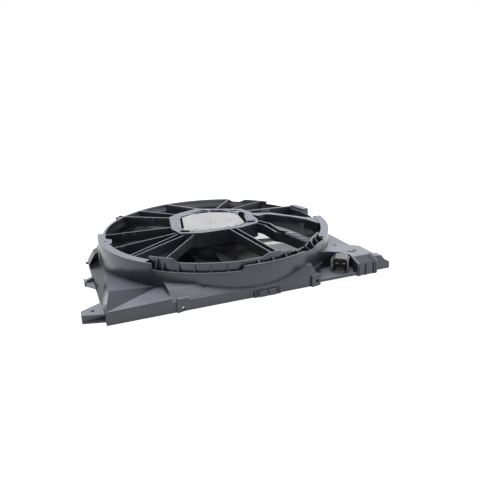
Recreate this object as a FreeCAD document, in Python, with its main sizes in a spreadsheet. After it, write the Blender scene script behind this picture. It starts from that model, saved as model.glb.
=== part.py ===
import FreeCAD, Part

import math
import os
import re

import Sketcher
from FreeCAD import Placement, Rotation, Vector

# Radiator fan shroud of a car, seen from the engine side.
# Millimetres. +Z points to the engine, the open face at z = 0 lies on the radiator.
# Pieces are drawn about the fan's axis and then moved so that the origin is
# the middle of the part's footprint.

SIZES = (
    ("body_left", 286, "fan axis to the left edge of the plenum"),
    ("body_right", 308, "fan axis to the right edge"),
    ("body_front", 264.5, "fan axis to the front wall"),
    ("body_back", 268, "fan axis to the back wall"),
    ("side_straight", 45, "straight part of both sides behind the axis"),
    ("corner_in", 34, "how far the bend in a rear corner lies in from the side"),
    ("corner_back", 165, "distance of that bend behind the axis"),
    ("corner_end", 64, "how far the rear corner ends in from the side"),
    ("wall_thick", 2.5, "moulded walls"),
    ("roof_edge", 5, "height of the plenum's rim, where the roof starts to rise"),
    ("roof_top", 18, "top of the plenum roof"),
    ("roof_slope", 60, "lean of the roof's sloping edge from the upright"),
    ("front_top", 28, "top of the front wall beside the left corner"),
    ("apron_left", 170, "fan axis to the left end of the sloping front apron"),
    ("apron_right", 124, "fan axis to its right end"),
    ("apron_top", 35, "top of the apron where it meets the skirt"),
    ("bay_start", 130, "fan axis to the left end of the connector bay"),
    ("bracket_proud", 4.5, "how far the brackets stand out of the front wall"),
    ("bracket_top", 27, "top of the front brackets"),
    ("ring_bore", 245, "radius of the fan barrel"),
    ("barrel_wall", 3, "wall of the barrel"),
    ("barrel_foot", 5, "lower edge of the barrel"),
    ("skirt_gap", 17, "from the barrel's bore out to the face of the skirt"),
    ("ring_top", 69, "top of the closed rim"),
    ("ring_notch", 6, "depth of the notch in the rear rim"),
    ("rim_thick", 2.5, "thickness of the closed rim"),
    ("bead_width", 3, "how far the rolled rear edge stands out"),
    ("bead_height", 5, "height of that edge"),
    ("ledge_top", 51.5, "ledge between barrel and skirt where the rim is open"),
    ("skirt_low", 56, "skirt top at the front left"),
    ("skirt_high", 65.5, "skirt top at the front right"),
    ("gusset_thick", 2.2, "ribs between barrel and skirt"),
    ("gusset_count", 6, "number of those ribs at the front left"),
    ("gusset_from", -131, "angle of the first one"),
    ("gusset_right", -89.5, "angle of the first one at the front right"),
    ("gusset_step", 7, "angle from one rib to the next"),
    ("tab_rise", 8.5, "how far the raised tabs stand above the rim"),
    ("rim_hole", 2.5, "radius of the screw hole in the rim"),
    ("carrier_top", 86, "top of the motor carrier"),
    ("carrier_low", 54, "bottom of the motor carrier"),
    ("carrier_left", 110, "fan axis to the carrier's left corner"),
    ("carrier_right", 98, "fan axis to its right corner"),
    ("carrier_front", 96, "fan axis to its front edge"),
    ("carrier_back", 98, "fan axis to its rear corner"),
    ("motor_bore", 64, "radius of the opening for the motor in the carrier"),
    ("seat_top", 62, "top of the carrier's motor seat"),
    ("strut_depth", 22, "depth of a strut at the rim"),
    ("strut_thick", 3, "thickness of a strut"),
    ("cover_left", 89, "fan axis to the cover's left corner"),
    ("cover_right", 61, "fan axis to the cover's right corner"),
    ("cover_front", 86, "fan axis to the cover's front edge"),
    ("cover_back", 52, "fan axis to the cover's rear edge"),
    ("cover_thick", 2, "sheet of the electronics cover"),
    ("cover_gap", 3, "gap round the electronics cover"),
    ("hub_radius", 82, "fan hub"),
    ("hub_top", 45, "top of the fan hub"),
    ("hub_low", 12, "underside of the fan hub"),
    ("hub_wall", 2.6, "wall of the fan hub"),
    ("blade_count", 5, "fan blades"),
    ("blade_thick", 2.8, "thickness of a blade"),
    ("blade_root", 66, "chord of a blade at the hub"),
    ("blade_tip", 124, "chord of a blade at the band"),
    ("root_pitch", 26, "pitch of a blade at the hub"),
    ("tip_pitch", 15, "pitch of a blade at the band"),
    ("blade_angle", -90, "where the first blade stands"),
    ("blade_sweep", 4, "how far a blade leans forward at its tip"),
    ("band_inner", 236, "inside of the band round the blades"),
    ("band_wall", 2.6, "wall of that band"),
    ("band_low", 8, "underside of the band"),
    ("band_high", 38, "top of the band"),
    ("rotor_gap", 13.4, "between the fan hub's wall and the steel rotor cup"),
    ("rotor_wall", 2.5, "wall of the rotor cup"),
    ("rotor_low", 15, "underside of the rotor cup"),
    ("coil_half", 5, "half width of the room in a coil"),
    ("coil_thick", 2.6, "thickness of a coil's winding"),
    ("rotor_top", 50, "top of the rotor cup"),
    ("magnet_thick", 3.5, "magnets in the rotor cup"),
    ("magnet_low", 24, "underside of the magnets"),
    ("magnet_high", 48, "top of the magnets"),
    ("magnet_gap", 1, "air gap between magnets and stator"),
    ("pole_count", 12, "stator teeth"),
    ("stator_bore", 26, "inside of the stator core"),
    ("stator_yoke", 10, "width of the stator's yoke"),
        ("shaft_radius", 5, "motor shaft"),
    ("shaft_low", 11, "lower end of the shaft"),
    ("shaft_high", 58, "upper end of the shaft"),
    ("shaft_play", 0.03, "running clearance of the shaft"),
    ("bearing_radius", 13, "outside of a ball bearing"),
    ("bearing_width", 9, "width of a ball bearing"),
    ("board_top", 77, "top of the circuit board"),
    ("board_thick", 1.6, "thickness of the circuit board"),
    ("base_wall", 4, "wall of the motor base"),
    ("base_floor", 4, "floor of the motor base"),
    ("screw_radius", 2, "radius of the motor and fan screws"),
    ("rivet_radius", 1.2, "radius of the cover screws"),
    ("lug_reach", 38, "how far the front left lug stands out"),
    ("rear_reach", 18, "how far the rear lug stands out"),
    ("lug_hole", 3.2, "radius of the hole in the front left lug"),
    ("bracket_hole", 3, "radius of the holes in the front brackets"),
    ("bay_top", 40, "top of the connector bay beside the ring"),
    ("bay_edge", 15, "top of the connector bay at the right edge"),
    ("bay_left", 185, "left end of the bay's raised part"),
    ("bay_face", 259, "fan axis to the front face of the bay"),
    ("bay_box", 49, "length of that box"),
    ("bay_step", 220, "fan axis to the left end of the box in the bay"),
    ("pocket_right", 211, "fan axis to where the plug's slanting wall starts"),
    ("pocket_back", 199, "fan axis to the rear wall of the plug's space"),
    ("bay_front", 235, "front of the bay's raised part, before the axis"),
    ("bay_back", 135, "back of the bay's raised part"),
    ("plug_width", 34, "width of the connector shell"),
    ("plug_height", 31, "height of the connector shell"),
    ("plug_depth", 31, "depth of the connector shell"),
    ("plug_neck", 10, "length of the neck behind the shell"),
    ("plug_wall", 2.4, "wall of the connector shell"),
    ("plug_turn", 38, "how far the connector is turned to the left"),
    ("blade_width", 6.3, "width of a connector blade"),
)

doc = FreeCAD.newDocument("RadiatorFanShroud")
sheet = doc.addObject("Spreadsheet::Sheet", "Sizes")
for row, (name, size, note) in enumerate(SIZES, start=1):
    sheet.set("A%d" % row, name)
    sheet.set("B%d" % row, str(size))
    sheet.set("C%d" % row, note)
    sheet.setAlias("B%d" % row, name)
doc.recompute()

NODES = {}


def bound(text):
    """Point the size names in an expression at the sheet."""
    return re.sub(r"\b([a-z]+_[a-z]+)\b", r"Sizes.\1", str(text))


def value(text):
    """Work an expression of size names out as a number."""
    return float(FreeCAD.Units.Quantity(str(sheet.evalExpression(bound(text)))).Value)


def add(kind, name, **settings):
    """Add an object, its text settings bound to the sheet."""
    item = doc.addObject(kind, name)
    for key, setting in settings.items():
        if isinstance(setting, str):
            item.setExpression(key, bound(setting))
        else:
            setattr(item, key, setting)
    return item


def place(item, x="0", y="0", z="0", turn="0"):
    """Bind an object's place, with a turn about +Z."""
    item.Placement = Placement(Vector(), Rotation(Vector(0, 0, 1), 1))
    item.setExpression("Placement.Rotation.Angle", bound(turn))
    item.setExpression("Placement.Base.x", bound(x))
    item.setExpression("Placement.Base.y", bound(y))
    item.setExpression("Placement.Base.z", bound(z))
    return item


def node(item, label):
    """Name a finished sub-part and move it from the fan's axis to the part's origin."""
    item.Label = label
    item.setExpression("Placement.Base.x", bound("(body_left + lug_reach - body_right) / 2"))
    item.setExpression("Placement.Base.y", bound("(body_front + bracket_proud - body_back - rear_reach) / 2"))
    NODES[label] = item
    return item


def fuse(name, *items):
    return add("Part::MultiFuse", name, Shapes=list(items))


def cut(name, base, tool):
    return add("Part::Cut", name, Base=base, Tool=tool)


def common(name, base, tool):
    return add("Part::Common", name, Base=base, Tool=tool)


def box(name, length, width, height, x="0", y="0", z="0", turn="0"):
    item = add("Part::Box", name, Length=str(length), Width=str(width), Height=str(height))
    return place(item, x, y, z, turn)


def drum(name, radius, height, x="0", y="0", z="0"):
    item = add("Part::Cylinder", name, Radius=str(radius), Height=str(height))
    return place(item, x, y, z)


def tube(name, outer, inner, low, high):
    """A plain ring about the fan's axis."""
    shell = drum(name + "_outer", outer, "(%s) - (%s)" % (high, low), z=low)
    hole = drum(name + "_inner", inner, "(%s) - (%s) + 2" % (high, low), z="(%s) - 1" % low)
    return cut(name, shell, hole)


def new_body(name):
    return doc.addObject("PartDesign::Body", name)


def plane_of(body, role):
    return next(item for item in body.Origin.OriginFeatures if item.Role == role)


def sketch_on(body, name, role, lift="0", turn=None):
    """A sketch on an origin plane, lifted along its normal or turned about +Z."""
    sketch = body.newObject("Sketcher::SketchObject", name)
    sketch.AttachmentSupport = [(plane_of(body, role), "")]
    sketch.MapMode = "FlatFace"
    if turn is not None:
        sketch.AttachmentOffset = Placement(Vector(), Rotation(Vector(0, 1, 0), 1))
        sketch.setExpression("AttachmentOffset.Rotation.Angle", bound(turn))
    sketch.setExpression("AttachmentOffset.Base.z", bound(lift))
    return sketch


def pin(sketch, index, end, x, y):
    """Hold one point of a sketch at a place given by expressions."""
    for kind, text in (("DistanceX", x), ("DistanceY", y)):
        number = sketch.addConstraint(Sketcher.Constraint(kind, -1, 1, index, end, value(text)))
        sketch.setExpression("Constraints[%d]" % number, bound(text))


def outline(sketch, points):
    """Draw a closed outline through points given as pairs of expressions."""
    first = sketch.GeometryCount
    corners = [Vector(value(x), value(y), 0) for x, y in points]
    for index, corner in enumerate(corners):
        following = corners[(index + 1) % len(corners)]
        sketch.addGeometry(Part.LineSegment(corner, following), False)
    for index in range(len(points)):
        after = first + (index + 1) % len(points)
        sketch.addConstraint(Sketcher.Constraint("Coincident", first + index, 2, after, 1))
    for index, (x, y) in enumerate(points):
        pin(sketch, first + index, 1, x, y)
    return sketch


def circle(sketch, x, y, radius):
    """Draw a circle whose centre and radius are expressions."""
    centre = Vector(value(x), value(y), 0)
    index = sketch.addGeometry(Part.Circle(centre, Vector(0, 0, 1), value(radius)), False)
    pin(sketch, index, 3, x, y)
    number = sketch.addConstraint(Sketcher.Constraint("Radius", index, value(radius)))
    sketch.setExpression("Constraints[%d]" % number, bound(radius))
    return sketch


def feature(body, kind, name, sketch, length, symmetric=False, backwards=False):
    """A Pad or Pocket of a sketch."""
    item = body.newObject("PartDesign::" + kind, name)
    item.Profile = sketch
    item.setExpression("Length", bound(length))
    if symmetric:
        item.SideType = "Symmetric"
    item.Reversed = backwards
    return item


def spin(body, name, points, start="0", sweep="360"):
    """Revolve an outline of radius and height about the fan's axis."""
    sketch = outline(sketch_on(body, name + "_sketch", "XZ_Plane", turn=start), points)
    item = body.newObject("PartDesign::Revolution", name)
    item.Profile = sketch
    item.ReferenceAxis = (sketch, ["V_Axis"])
    item.setExpression("Angle", bound(sweep))
    return item


def repeat(body, name, original, sketch, count, sweep):
    """Repeat a feature round the fan's axis."""
    item = body.newObject("PartDesign::PolarPattern", name)
    item.Originals = [original]
    item.Axis = (sketch, ["V_Axis"])
    item.setExpression("Angle", bound(sweep))
    item.setExpression("Occurrences", bound(count))
    body.Tip = item
    return item


def slab(name, role, points, length, lift="0", symmetric=False, backwards=False):
    """A plain extrusion of one outline."""
    body = new_body(name)
    sketch = outline(sketch_on(body, name + "_sketch", role, lift), points)
    feature(body, "Pad", name + "_pad", sketch, length, symmetric, backwards)
    return body


def rod(name, role, x, y, radius, length, lift="0", backwards=False):
    """A round bar across an origin plane."""
    body = new_body(name)
    sketch = circle(sketch_on(body, name + "_sketch", role, lift), x, y, radius)
    feature(body, "Pad", name + "_pad", sketch, length, backwards=backwards)
    return body


# Barrel: a thin wall with a foot ring on the plenum roof, a rolled edge at the rear,
# lower under the closed rim and raised in steps where the rim is open.
# The angles run anticlockwise from the right.

REAR_START = "36"
RIM_END = "352"
NOTCH_START = "51"
NOTCH_END = "62"
RIM_START = "169"
FRONT_START = "221"
FRONT_END = "315"
BARREL_OUT = "ring_bore + barrel_wall"
SKIRT_OUT = "ring_bore + skirt_gap"
SKIRT_IN = SKIRT_OUT + " - wall_thick"
ROTOR_OUT = "hub_radius - hub_wall - rotor_gap"
ROOF_UNDER = "roof_top - wall_thick"
RIM_UNDER = "ring_top - rim_thick"


def barrel_wall(body, name, low, high, start, sweep):
    """A stretch of the barrel's wall."""
    points = [("ring_bore", low), (BARREL_OUT, low), (BARREL_OUT, high), ("ring_bore", high)]
    spin(body, name, points, start, sweep)


def ring_barrel():
    body = new_body("RingBarrel")
    notch = "ring_top - ring_notch"
    lip = BARREL_OUT + " + bead_width"
    barrel_wall(body, "low_wall", "barrel_foot", notch, "0", "360")
    barrel_wall(body, "closed_wall", notch, RIM_UNDER, NOTCH_END, RIM_END + " - " + NOTCH_END)
    spin(body, "foot_ring", [(BARREL_OUT, ROOF_UNDER), (SKIRT_OUT, ROOF_UNDER),
                             (SKIRT_OUT, "roof_top"), (BARREL_OUT, "roof_top")])
    bead = [("ring_bore", notch), (BARREL_OUT, notch), (BARREL_OUT, "ring_top - bead_height"),
            (lip, "ring_top - bead_height"), (lip, "ring_top"), ("ring_bore", "ring_top")]
    spin(body, "rear_bead", bead, NOTCH_END, RIM_START + " - " + NOTCH_END)
    spin(body, "right_bead", bead, REAR_START, NOTCH_START + " - " + REAR_START)
    barrel_wall(body, "front_wall", RIM_UNDER, "ring_top + tab_rise", FRONT_START,
                FRONT_END + " - " + FRONT_START)
    above = "ring_top + tab_rise + 10"
    tab = "ring_top + tab_rise"
    middle = "ring_top + tab_rise / 2"
    low = "ring_top + tab_rise / 6"
    steps = outline(sketch_on(body, "step_sketch", "XZ_Plane"), [
        ("-ring_bore", above), ("-ring_bore", tab), ("-148", tab), ("-139", low), ("-22", low),
        ("13", "ring_top + tab_rise / 3"), ("26", tab), ("52", tab), ("60", middle), ("78", middle),
        ("86", RIM_UNDER), ("118", RIM_UNDER), ("146", tab), ("ring_bore", tab), ("ring_bore", above)])
    feature(body, "Pocket", "steps", steps, "ring_bore + 20", backwards=True)
    return node(body, "ring_barrel")


# Skirt: the outer wall, closed to the barrel by the rim at both sides and by ribs at the front.

def ring_skirt():
    body = new_body("RingSkirt")
    closed = [(SKIRT_IN, "roof_top"), (SKIRT_OUT, "roof_top"), (SKIRT_OUT, "ring_top"),
              ("ring_bore", "ring_top"), ("ring_bore", RIM_UNDER), (SKIRT_IN, RIM_UNDER)]
    spin(body, "left_rim", closed, RIM_START, FRONT_START + " - " + RIM_START)
    spin(body, "front_skirt", [
        (SKIRT_IN, "roof_top"), (SKIRT_OUT, "roof_top"), (SKIRT_OUT, "ring_top"),
        (SKIRT_IN, "ring_top"), (SKIRT_IN, "ledge_top"), (BARREL_OUT, "ledge_top"),
        (BARREL_OUT, "ledge_top - wall_thick"), (SKIRT_IN, "ledge_top - wall_thick")],
        FRONT_START, FRONT_END + " - " + FRONT_START)
    spin(body, "right_rim", closed, FRONT_END, RIM_END + " - " + FRONT_END)
    edge = outline(sketch_on(body, "edge_sketch", "XZ_Plane"), [
        ("-186", "skirt_low"), ("-36", "skirt_low"), ("-27", "skirt_high"), ("107", "skirt_high"),
        ("121", "skirt_high - 4"), ("134", "skirt_high - 4"), ("146", "skirt_high"),
        ("174", "skirt_high"), ("174", "ring_top + 5"), ("-186", "ring_top + 5")])
    feature(body, "Pocket", "edge_steps", edge, SKIRT_OUT + " + 20", backwards=True)
    for name, edge_top, count, start in (("low_ribs", "skirt_low", "gusset_count", "gusset_from"),
                                         ("high_ribs", "skirt_high", "gusset_count - 1", "gusset_right")):
        section = outline(sketch_on(body, name + "_sketch", "XZ_Plane", turn=start), [
            (BARREL_OUT, "ledge_top"), (SKIRT_IN, "ledge_top"), (SKIRT_IN, edge_top + " - 1"),
            (BARREL_OUT, "ring_top + 0.5")])
        rib = feature(body, "Pad", name + "_first", section, "gusset_thick", symmetric=True)
        repeat(body, name, rib, section, count, "gusset_step * (%s - 1)" % count)
    tall = [(BARREL_OUT, "ledge_top"), (SKIRT_IN, "ledge_top"), (SKIRT_IN, "skirt_high - 2"),
            (BARREL_OUT, "ring_top + tab_rise - 1")]
    for name, angle in (("left_pair", "gusset_from - 3"), ("box_left", "303"), ("box_middle", "308"),
                        ("box_right", "313")):
        sketch = outline(sketch_on(body, name + "_sketch", "XZ_Plane", turn=angle), tall)
        feature(body, "Pad", name, sketch, "gusset_thick", symmetric=True)
    flap = outline(sketch_on(body, "flap_sketch", "XY_Plane", RIM_UNDER), [
        ("-ring_bore - 3", "-34"), ("-ring_bore + 8", "-28"), ("-ring_bore + 11", "-4"),
        ("-ring_bore", "8"), ("-ring_bore - 5", "0")])
    feature(body, "Pad", "screw_flap", flap, "rim_thick")
    hole = circle(sketch_on(body, "hole_sketch", "XY_Plane", "ring_top"), "-ring_bore - 3.5", "-11",
                  "rim_hole")
    feature(body, "Pocket", "screw_hole", hole, "rim_thick")
    return node(body, "ring_skirt")


# Plenum: the low open box that lies on the radiator and leads the air to the barrel.

def plenum_outline(inset):
    """The plenum's footprint, moved in by a wall."""
    left = "-body_left + " + inset
    right = "body_right - " + inset
    back = "body_back - " + inset
    bend = "corner_back - " + inset + " / 3"
    return [(left, "-body_front + " + inset), (right, "-body_front + " + inset),
            (right, "side_straight"), (right + " - corner_in", bend), (right + " - corner_end", back),
            (left + " + corner_end", back), (left + " + corner_in", bend), (left, "side_straight")]


def apron_outline(inset):
    """Section of the front apron, which slopes up to the skirt."""
    front = "-body_front + " + inset
    top = "apron_top - 1.2 * " + inset
    return [(front, "-2 * " + inset), (front, "roof_top + 2 - " + inset), ("-body_front + 25", top),
            ("-body_front + 75", top), ("-body_front + 75", "-2 * " + inset)]


def faceted(name, corners, triangles, floor):
    """A block under triangles that share corners, down to a floor height."""
    blocks = []
    for triangle in triangles:
        top = [Vector(*corners[word]) for word in triangle]
        base = [Vector(point.x, point.y, floor) for point in top]
        faces = [Part.Face(Part.makePolygon(top + top[:1])), Part.Face(Part.makePolygon(base + base[:1]))]
        for index in range(3):
            other = (index + 1) % 3
            side = [top[index], top[other], base[other], base[index], top[index]]
            faces.append(Part.Face(Part.makePolygon(side)))
        block = Part.makeSolid(Part.makeShell(faces))
        if block.Volume < 0:
            block.reverse()
        blocks.append(block)
    item = doc.addObject("Part::Feature", name)
    item.Shape = blocks[0].multiFuse(blocks[1:]).removeSplitter()
    return item


def corner_points(inset):
    """Corners of the raised left corner, whose ridge runs from the wall to the ring's foot."""
    left = -value("body_left") + inset
    front = -value("body_front") + inset
    reach = value(SKIRT_OUT)
    roof = value("roof_top") - inset
    drop = 1.4 * inset
    return {
        "outer": (left, front, 25 - drop),
        "apex": (left + 14, front + 43, 45 - drop),
        "foot": (left + 3, front + 75, value("roof_edge") + 3 - inset),
        "tangent": (-reach + 3, -36, roof - 1),
        "crease": (-0.68 * reach, -0.71 * reach, 22 - drop),
        "end": (-value("apron_left"), front, value("front_top") - drop),
        "back": (-value("apron_left"), -0.72 * reach, 24 - drop),
    }


CORNER_FACES = (("apex", "tangent", "crease"), ("outer", "apex", "crease"), ("outer", "crease", "end"),
                ("outer", "foot", "apex"), ("foot", "tangent", "apex"), ("crease", "end", "back"))


def hipped(name, inset):
    """The plenum's block: upright to its rim, then sloping in to the roof."""
    body = new_body(name)
    base = outline(sketch_on(body, name + "_base", "XY_Plane", "-2 * " + inset), plenum_outline(inset))
    feature(body, "Pad", name + "_rim", base, "roof_edge + " + inset)
    edge = outline(sketch_on(body, name + "_edge", "XY_Plane", "roof_edge - " + inset), plenum_outline(inset))
    slope = feature(body, "Pad", name + "_slope", edge, "roof_top - roof_edge")
    slope.setExpression("TaperAngle", bound("0 - roof_slope"))
    return body


def plenum():
    outside = hipped("PlenumOutside", "0 * wall_thick")
    shell = cut("PlenumShell", outside, hipped("PlenumInside", "wall_thick"))
    corner = faceted("CornerOuter", corner_points(0), CORNER_FACES, 0)
    hollow = faceted("CornerInner", corner_points(value("wall_thick")), CORNER_FACES, -1)
    width = "apron_left + apron_right"
    apron = slab("Apron", "YZ_Plane", apron_outline("0 * wall_thick"), width, "-apron_left")
    under = slab("ApronUnder", "YZ_Plane", apron_outline("wall_thick"), width + " - 2 * wall_thick",
                 "-apron_left + wall_thick")
    ring_room = drum("RingRoom", SKIRT_OUT, "ring_top", z="-1")
    bay_room = box("BayRoom", "body_right", "body_front - bay_back", "ring_top", "bay_start",
                   "-body_front", "-1")
    whole = fuse("PlenumBlocks", shell, corner, apron)
    open_shell = cut("PlenumOpen", whole, fuse("PlenumTools", hollow, under, ring_room, bay_room))
    solid = fuse("PlenumSolid", open_shell, *front_brackets())
    holes = fuse("BracketHoles",
                 rod("LeftBracketHole", "XZ_Plane", "-151", "8", "bracket_hole", "20", "body_front - 8"),
                 rod("RightBracketHole", "XZ_Plane", "121", "12", "bracket_hole", "20", "body_front - 8"))
    return node(cut("Plenum", solid, holes), "plenum")


def front_brackets():
    """Two screw brackets and a clip seat on the front wall."""
    back = "body_front - wall_thick / 2"
    depth = "bracket_proud + wall_thick / 2"
    left = slab("LeftBracket", "XZ_Plane", [("-163", "0"), ("-140", "4"), ("-140", "bracket_top"),
                                            ("-160", "bracket_top"), ("-163", "bracket_top - 3")],
                depth, back)
    right = slab("RightBracket", "XZ_Plane", [("109", "0"), ("128", "2"), ("128", "bracket_top + 4"),
                                              ("125", "bracket_top"), ("109", "bracket_top - 4")],
                 depth, back)
    seat = slab("ClipSeat", "XZ_Plane", [("-13", "0"), ("41", "0"), ("41", "12"), ("-13", "12")], depth, back)
    slits = [box("ClipSlit%d" % number, "2.2", "bracket_proud + 1", "14", x,
                 "-body_front - bracket_proud - 1", "-1")
             for number, x in enumerate(("-10", "-5.5", "14", "32", "36.5"))]
    return [left, right, cut("ClipSeatSlit", seat, fuse("ClipSlits", *slits))]


# Lugs that hold the shroud on the radiator.

def front_left_lug():
    """Open box with a screw plate on top."""
    tip = "-body_left - lug_reach"
    def plate(name, low, thick):
        return slab(name, "XY_Plane", [("-body_left", "-250"), ("-body_left", "-198"), (tip, "-222"),
                                       (tip, "-240")], thick, low)
    top = plate("LugTop", "13.5", "wall_thick")
    base = plate("LugBase", "0", "wall_thick")
    end = box("LugEnd", "wall_thick", "18", "13.5", tip, "-240", "0")
    ribs = [box("LugRib%d" % number, "lug_reach", "2", "13.5", tip, y, "0")
            for number, y in enumerate(("-239", "-232", "-225"))]
    solid = fuse("LugSolid", top, base, end, *ribs)
    hole = drum("LugHole", "lug_hole", "6", "-body_left - lug_reach + 20", "-228.5", "12")
    return node(cut("FrontLeftLug", solid, hole), "lug_front_left")


def left_lug():
    """Small ribbed hook half way along the left side."""
    plate = slab("LeftLugPlate", "XY_Plane", [("-body_left", "-112"), ("-body_left", "-44"),
                                              ("-body_left - 19", "-62"), ("-body_left - 19", "-86")],
                 "wall_thick", "6")
    rib = slab("LeftLugRib", "XZ_Plane", [("-body_left", "2"), ("-body_left", "17"),
                                          ("-body_left - 19", "10"), ("-body_left - 19", "4")],
               "wall_thick", "73")
    stop = box("LeftLugStop", "4", "24", "9", "-body_left - 19", "-86", "4")
    return node(fuse("LeftLug", plate, rib, stop), "lug_left")


def rear_left_lug():
    """Open box with a peg, seated on the roof's sloping edge behind the axis."""
    inner = "-body_left + (roof_top - roof_edge) * tan(roof_slope)"
    outside = slab("RearLeftLugOutside", "XZ_Plane", [
        ("-body_left", "roof_edge"), (inner, "roof_top"), (inner, "40"), ("-body_left + 14", "36"),
        ("-body_left", "14")], "side_straight - 13", "-side_straight")
    inside = slab("RearLeftLugInside", "XZ_Plane", [
        ("-body_left + wall_thick", "roof_edge + 4.5"), (inner + " - wall_thick", "roof_top + 1.5"),
        (inner + " - wall_thick", "37"), ("-body_left + 14.8", "33.5"),
        ("-body_left + wall_thick", "13.5")], "side_straight", "-side_straight + wall_thick")
    peg = rod("RearLugPeg", "YZ_Plane", "36", "10", "3", "5", "-body_left - 5")
    return node(fuse("RearLeftLug", cut("RearLeftLugBox", outside, inside), peg), "lug_rear_left")


def rear_lug():
    """Screw lug at the back, seated on the roof's sloping edge."""
    wedge = slab("RearLugWedge", "YZ_Plane", [
        ("body_back", "roof_edge"), ("body_back - 10 * tan(roof_slope)", "roof_edge + 10"),
        ("body_back + rear_reach", "roof_edge + 10"), ("body_back + rear_reach", "roof_edge + 5"),
        ("body_back + 3", "roof_edge + 5")], "28", "-215")
    plan = slab("RearLugPlan", "XY_Plane", [
        ("-215", "body_back - 30"), ("-187", "body_back - 30"), ("-187", "body_back"),
        ("-191", "body_back + rear_reach"), ("-211", "body_back + rear_reach"), ("-215", "body_back")],
        "roof_top + 10")
    hole = drum("RearLugHole", "lug_hole", "roof_top", "-201", "body_back + rear_reach / 2")
    return node(cut("RearLug", common("RearLugShape", wedge, plan), hole), "lug_rear")


def rim_socket():
    """Small round socket outside the barrel at the rear left."""
    block = box("SocketBlock", "22", "22", "18", "ring_bore", "-11", "ring_top - 20")
    hole = drum("SocketHole", "6", "20", "ring_bore + 13", "0", "ring_top - 16")
    seat = drum("SocketSeat", BARREL_OUT + " + bead_width", "ring_top")
    trimmed = cut("SocketTrim", cut("SocketOpen", block, hole), seat)
    node(trimmed, "rim_socket")
    trimmed.Placement.Rotation = Rotation(Vector(0, 0, 1), 136)
    return trimmed


def rim_block():
    """Open box outside the barrel where the right rear strut ends."""
    body = new_body("RimBlock")
    outer = SKIRT_OUT + " + 6"
    spin(body, "block", [(BARREL_OUT, "ring_top - 25"), (outer, "ring_top - 25"), (outer, "ring_top - 5"),
                         (BARREL_OUT, "ring_top - 5")], "7", "12")
    spin(body, "top", [(BARREL_OUT + " + bead_width", "ring_top - 5"), (outer, "ring_top - 5"),
                       (outer, "ring_top"), (BARREL_OUT + " + bead_width", "ring_top")], "7", "12")
    return node(body, "rim_block")


# Connector bay: the right front corner, with a sunk floor for the plug.

def bay_profile(inset):
    """Section of the bay's raised part, which falls to the right."""
    return [("100", "-2 * " + inset), ("body_right - " + inset, "-2 * " + inset),
            ("body_right - " + inset, "bay_edge - 1.2 * " + inset),
            ("bay_left", "bay_top - 1.2 * " + inset), ("100", "bay_top - 1.2 * " + inset)]


def box_profile(inset):
    """Section of the box along the front edge."""
    return [("-bay_face + " + inset, "-2 * " + inset), ("-bay_face + " + inset, "25 - " + inset),
            ("-bay_face + 26", "33 - 1.2 * " + inset), ("-bay_front + 6", "33 - 1.2 * " + inset),
            ("-bay_front + 6", "-2 * " + inset)]


def step_profile(inset):
    """Front view of the steps that end the bay at the right."""
    right = "body_right - " + inset
    return [("268", "-2 * " + inset), ("268", "33 - 1.2 * " + inset), ("286", "32 - 1.2 * " + inset),
            ("296", "20 - 1.2 * " + inset), ("306 - " + inset, "16 - 1.2 * " + inset),
            (right, "9 - " + inset), (right, "-2 * " + inset)]


def pocket_outline(grow):
    """Plan of the space for the plug, open to the front, with a slanting wall that carries the plug."""
    step = "bay_step + %s" % grow
    corner_x = "pocket_right + %s / 3" % grow
    corner_y = "-pocket_back + %s" % grow
    slant_y = "-pocket_back - (bay_step + 8 - pocket_right) * tan(plug_turn) + %s / 3" % grow
    return [("100", "-bay_face - 10"), (step, "-bay_face - 10"), (step, "-bay_face + 15"),
            ("bay_step + 8 + %s" % grow, "-bay_face + 23"), ("bay_step + 8 + %s" % grow, slant_y),
            (corner_x, corner_y), ("100", corner_y)]


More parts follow.
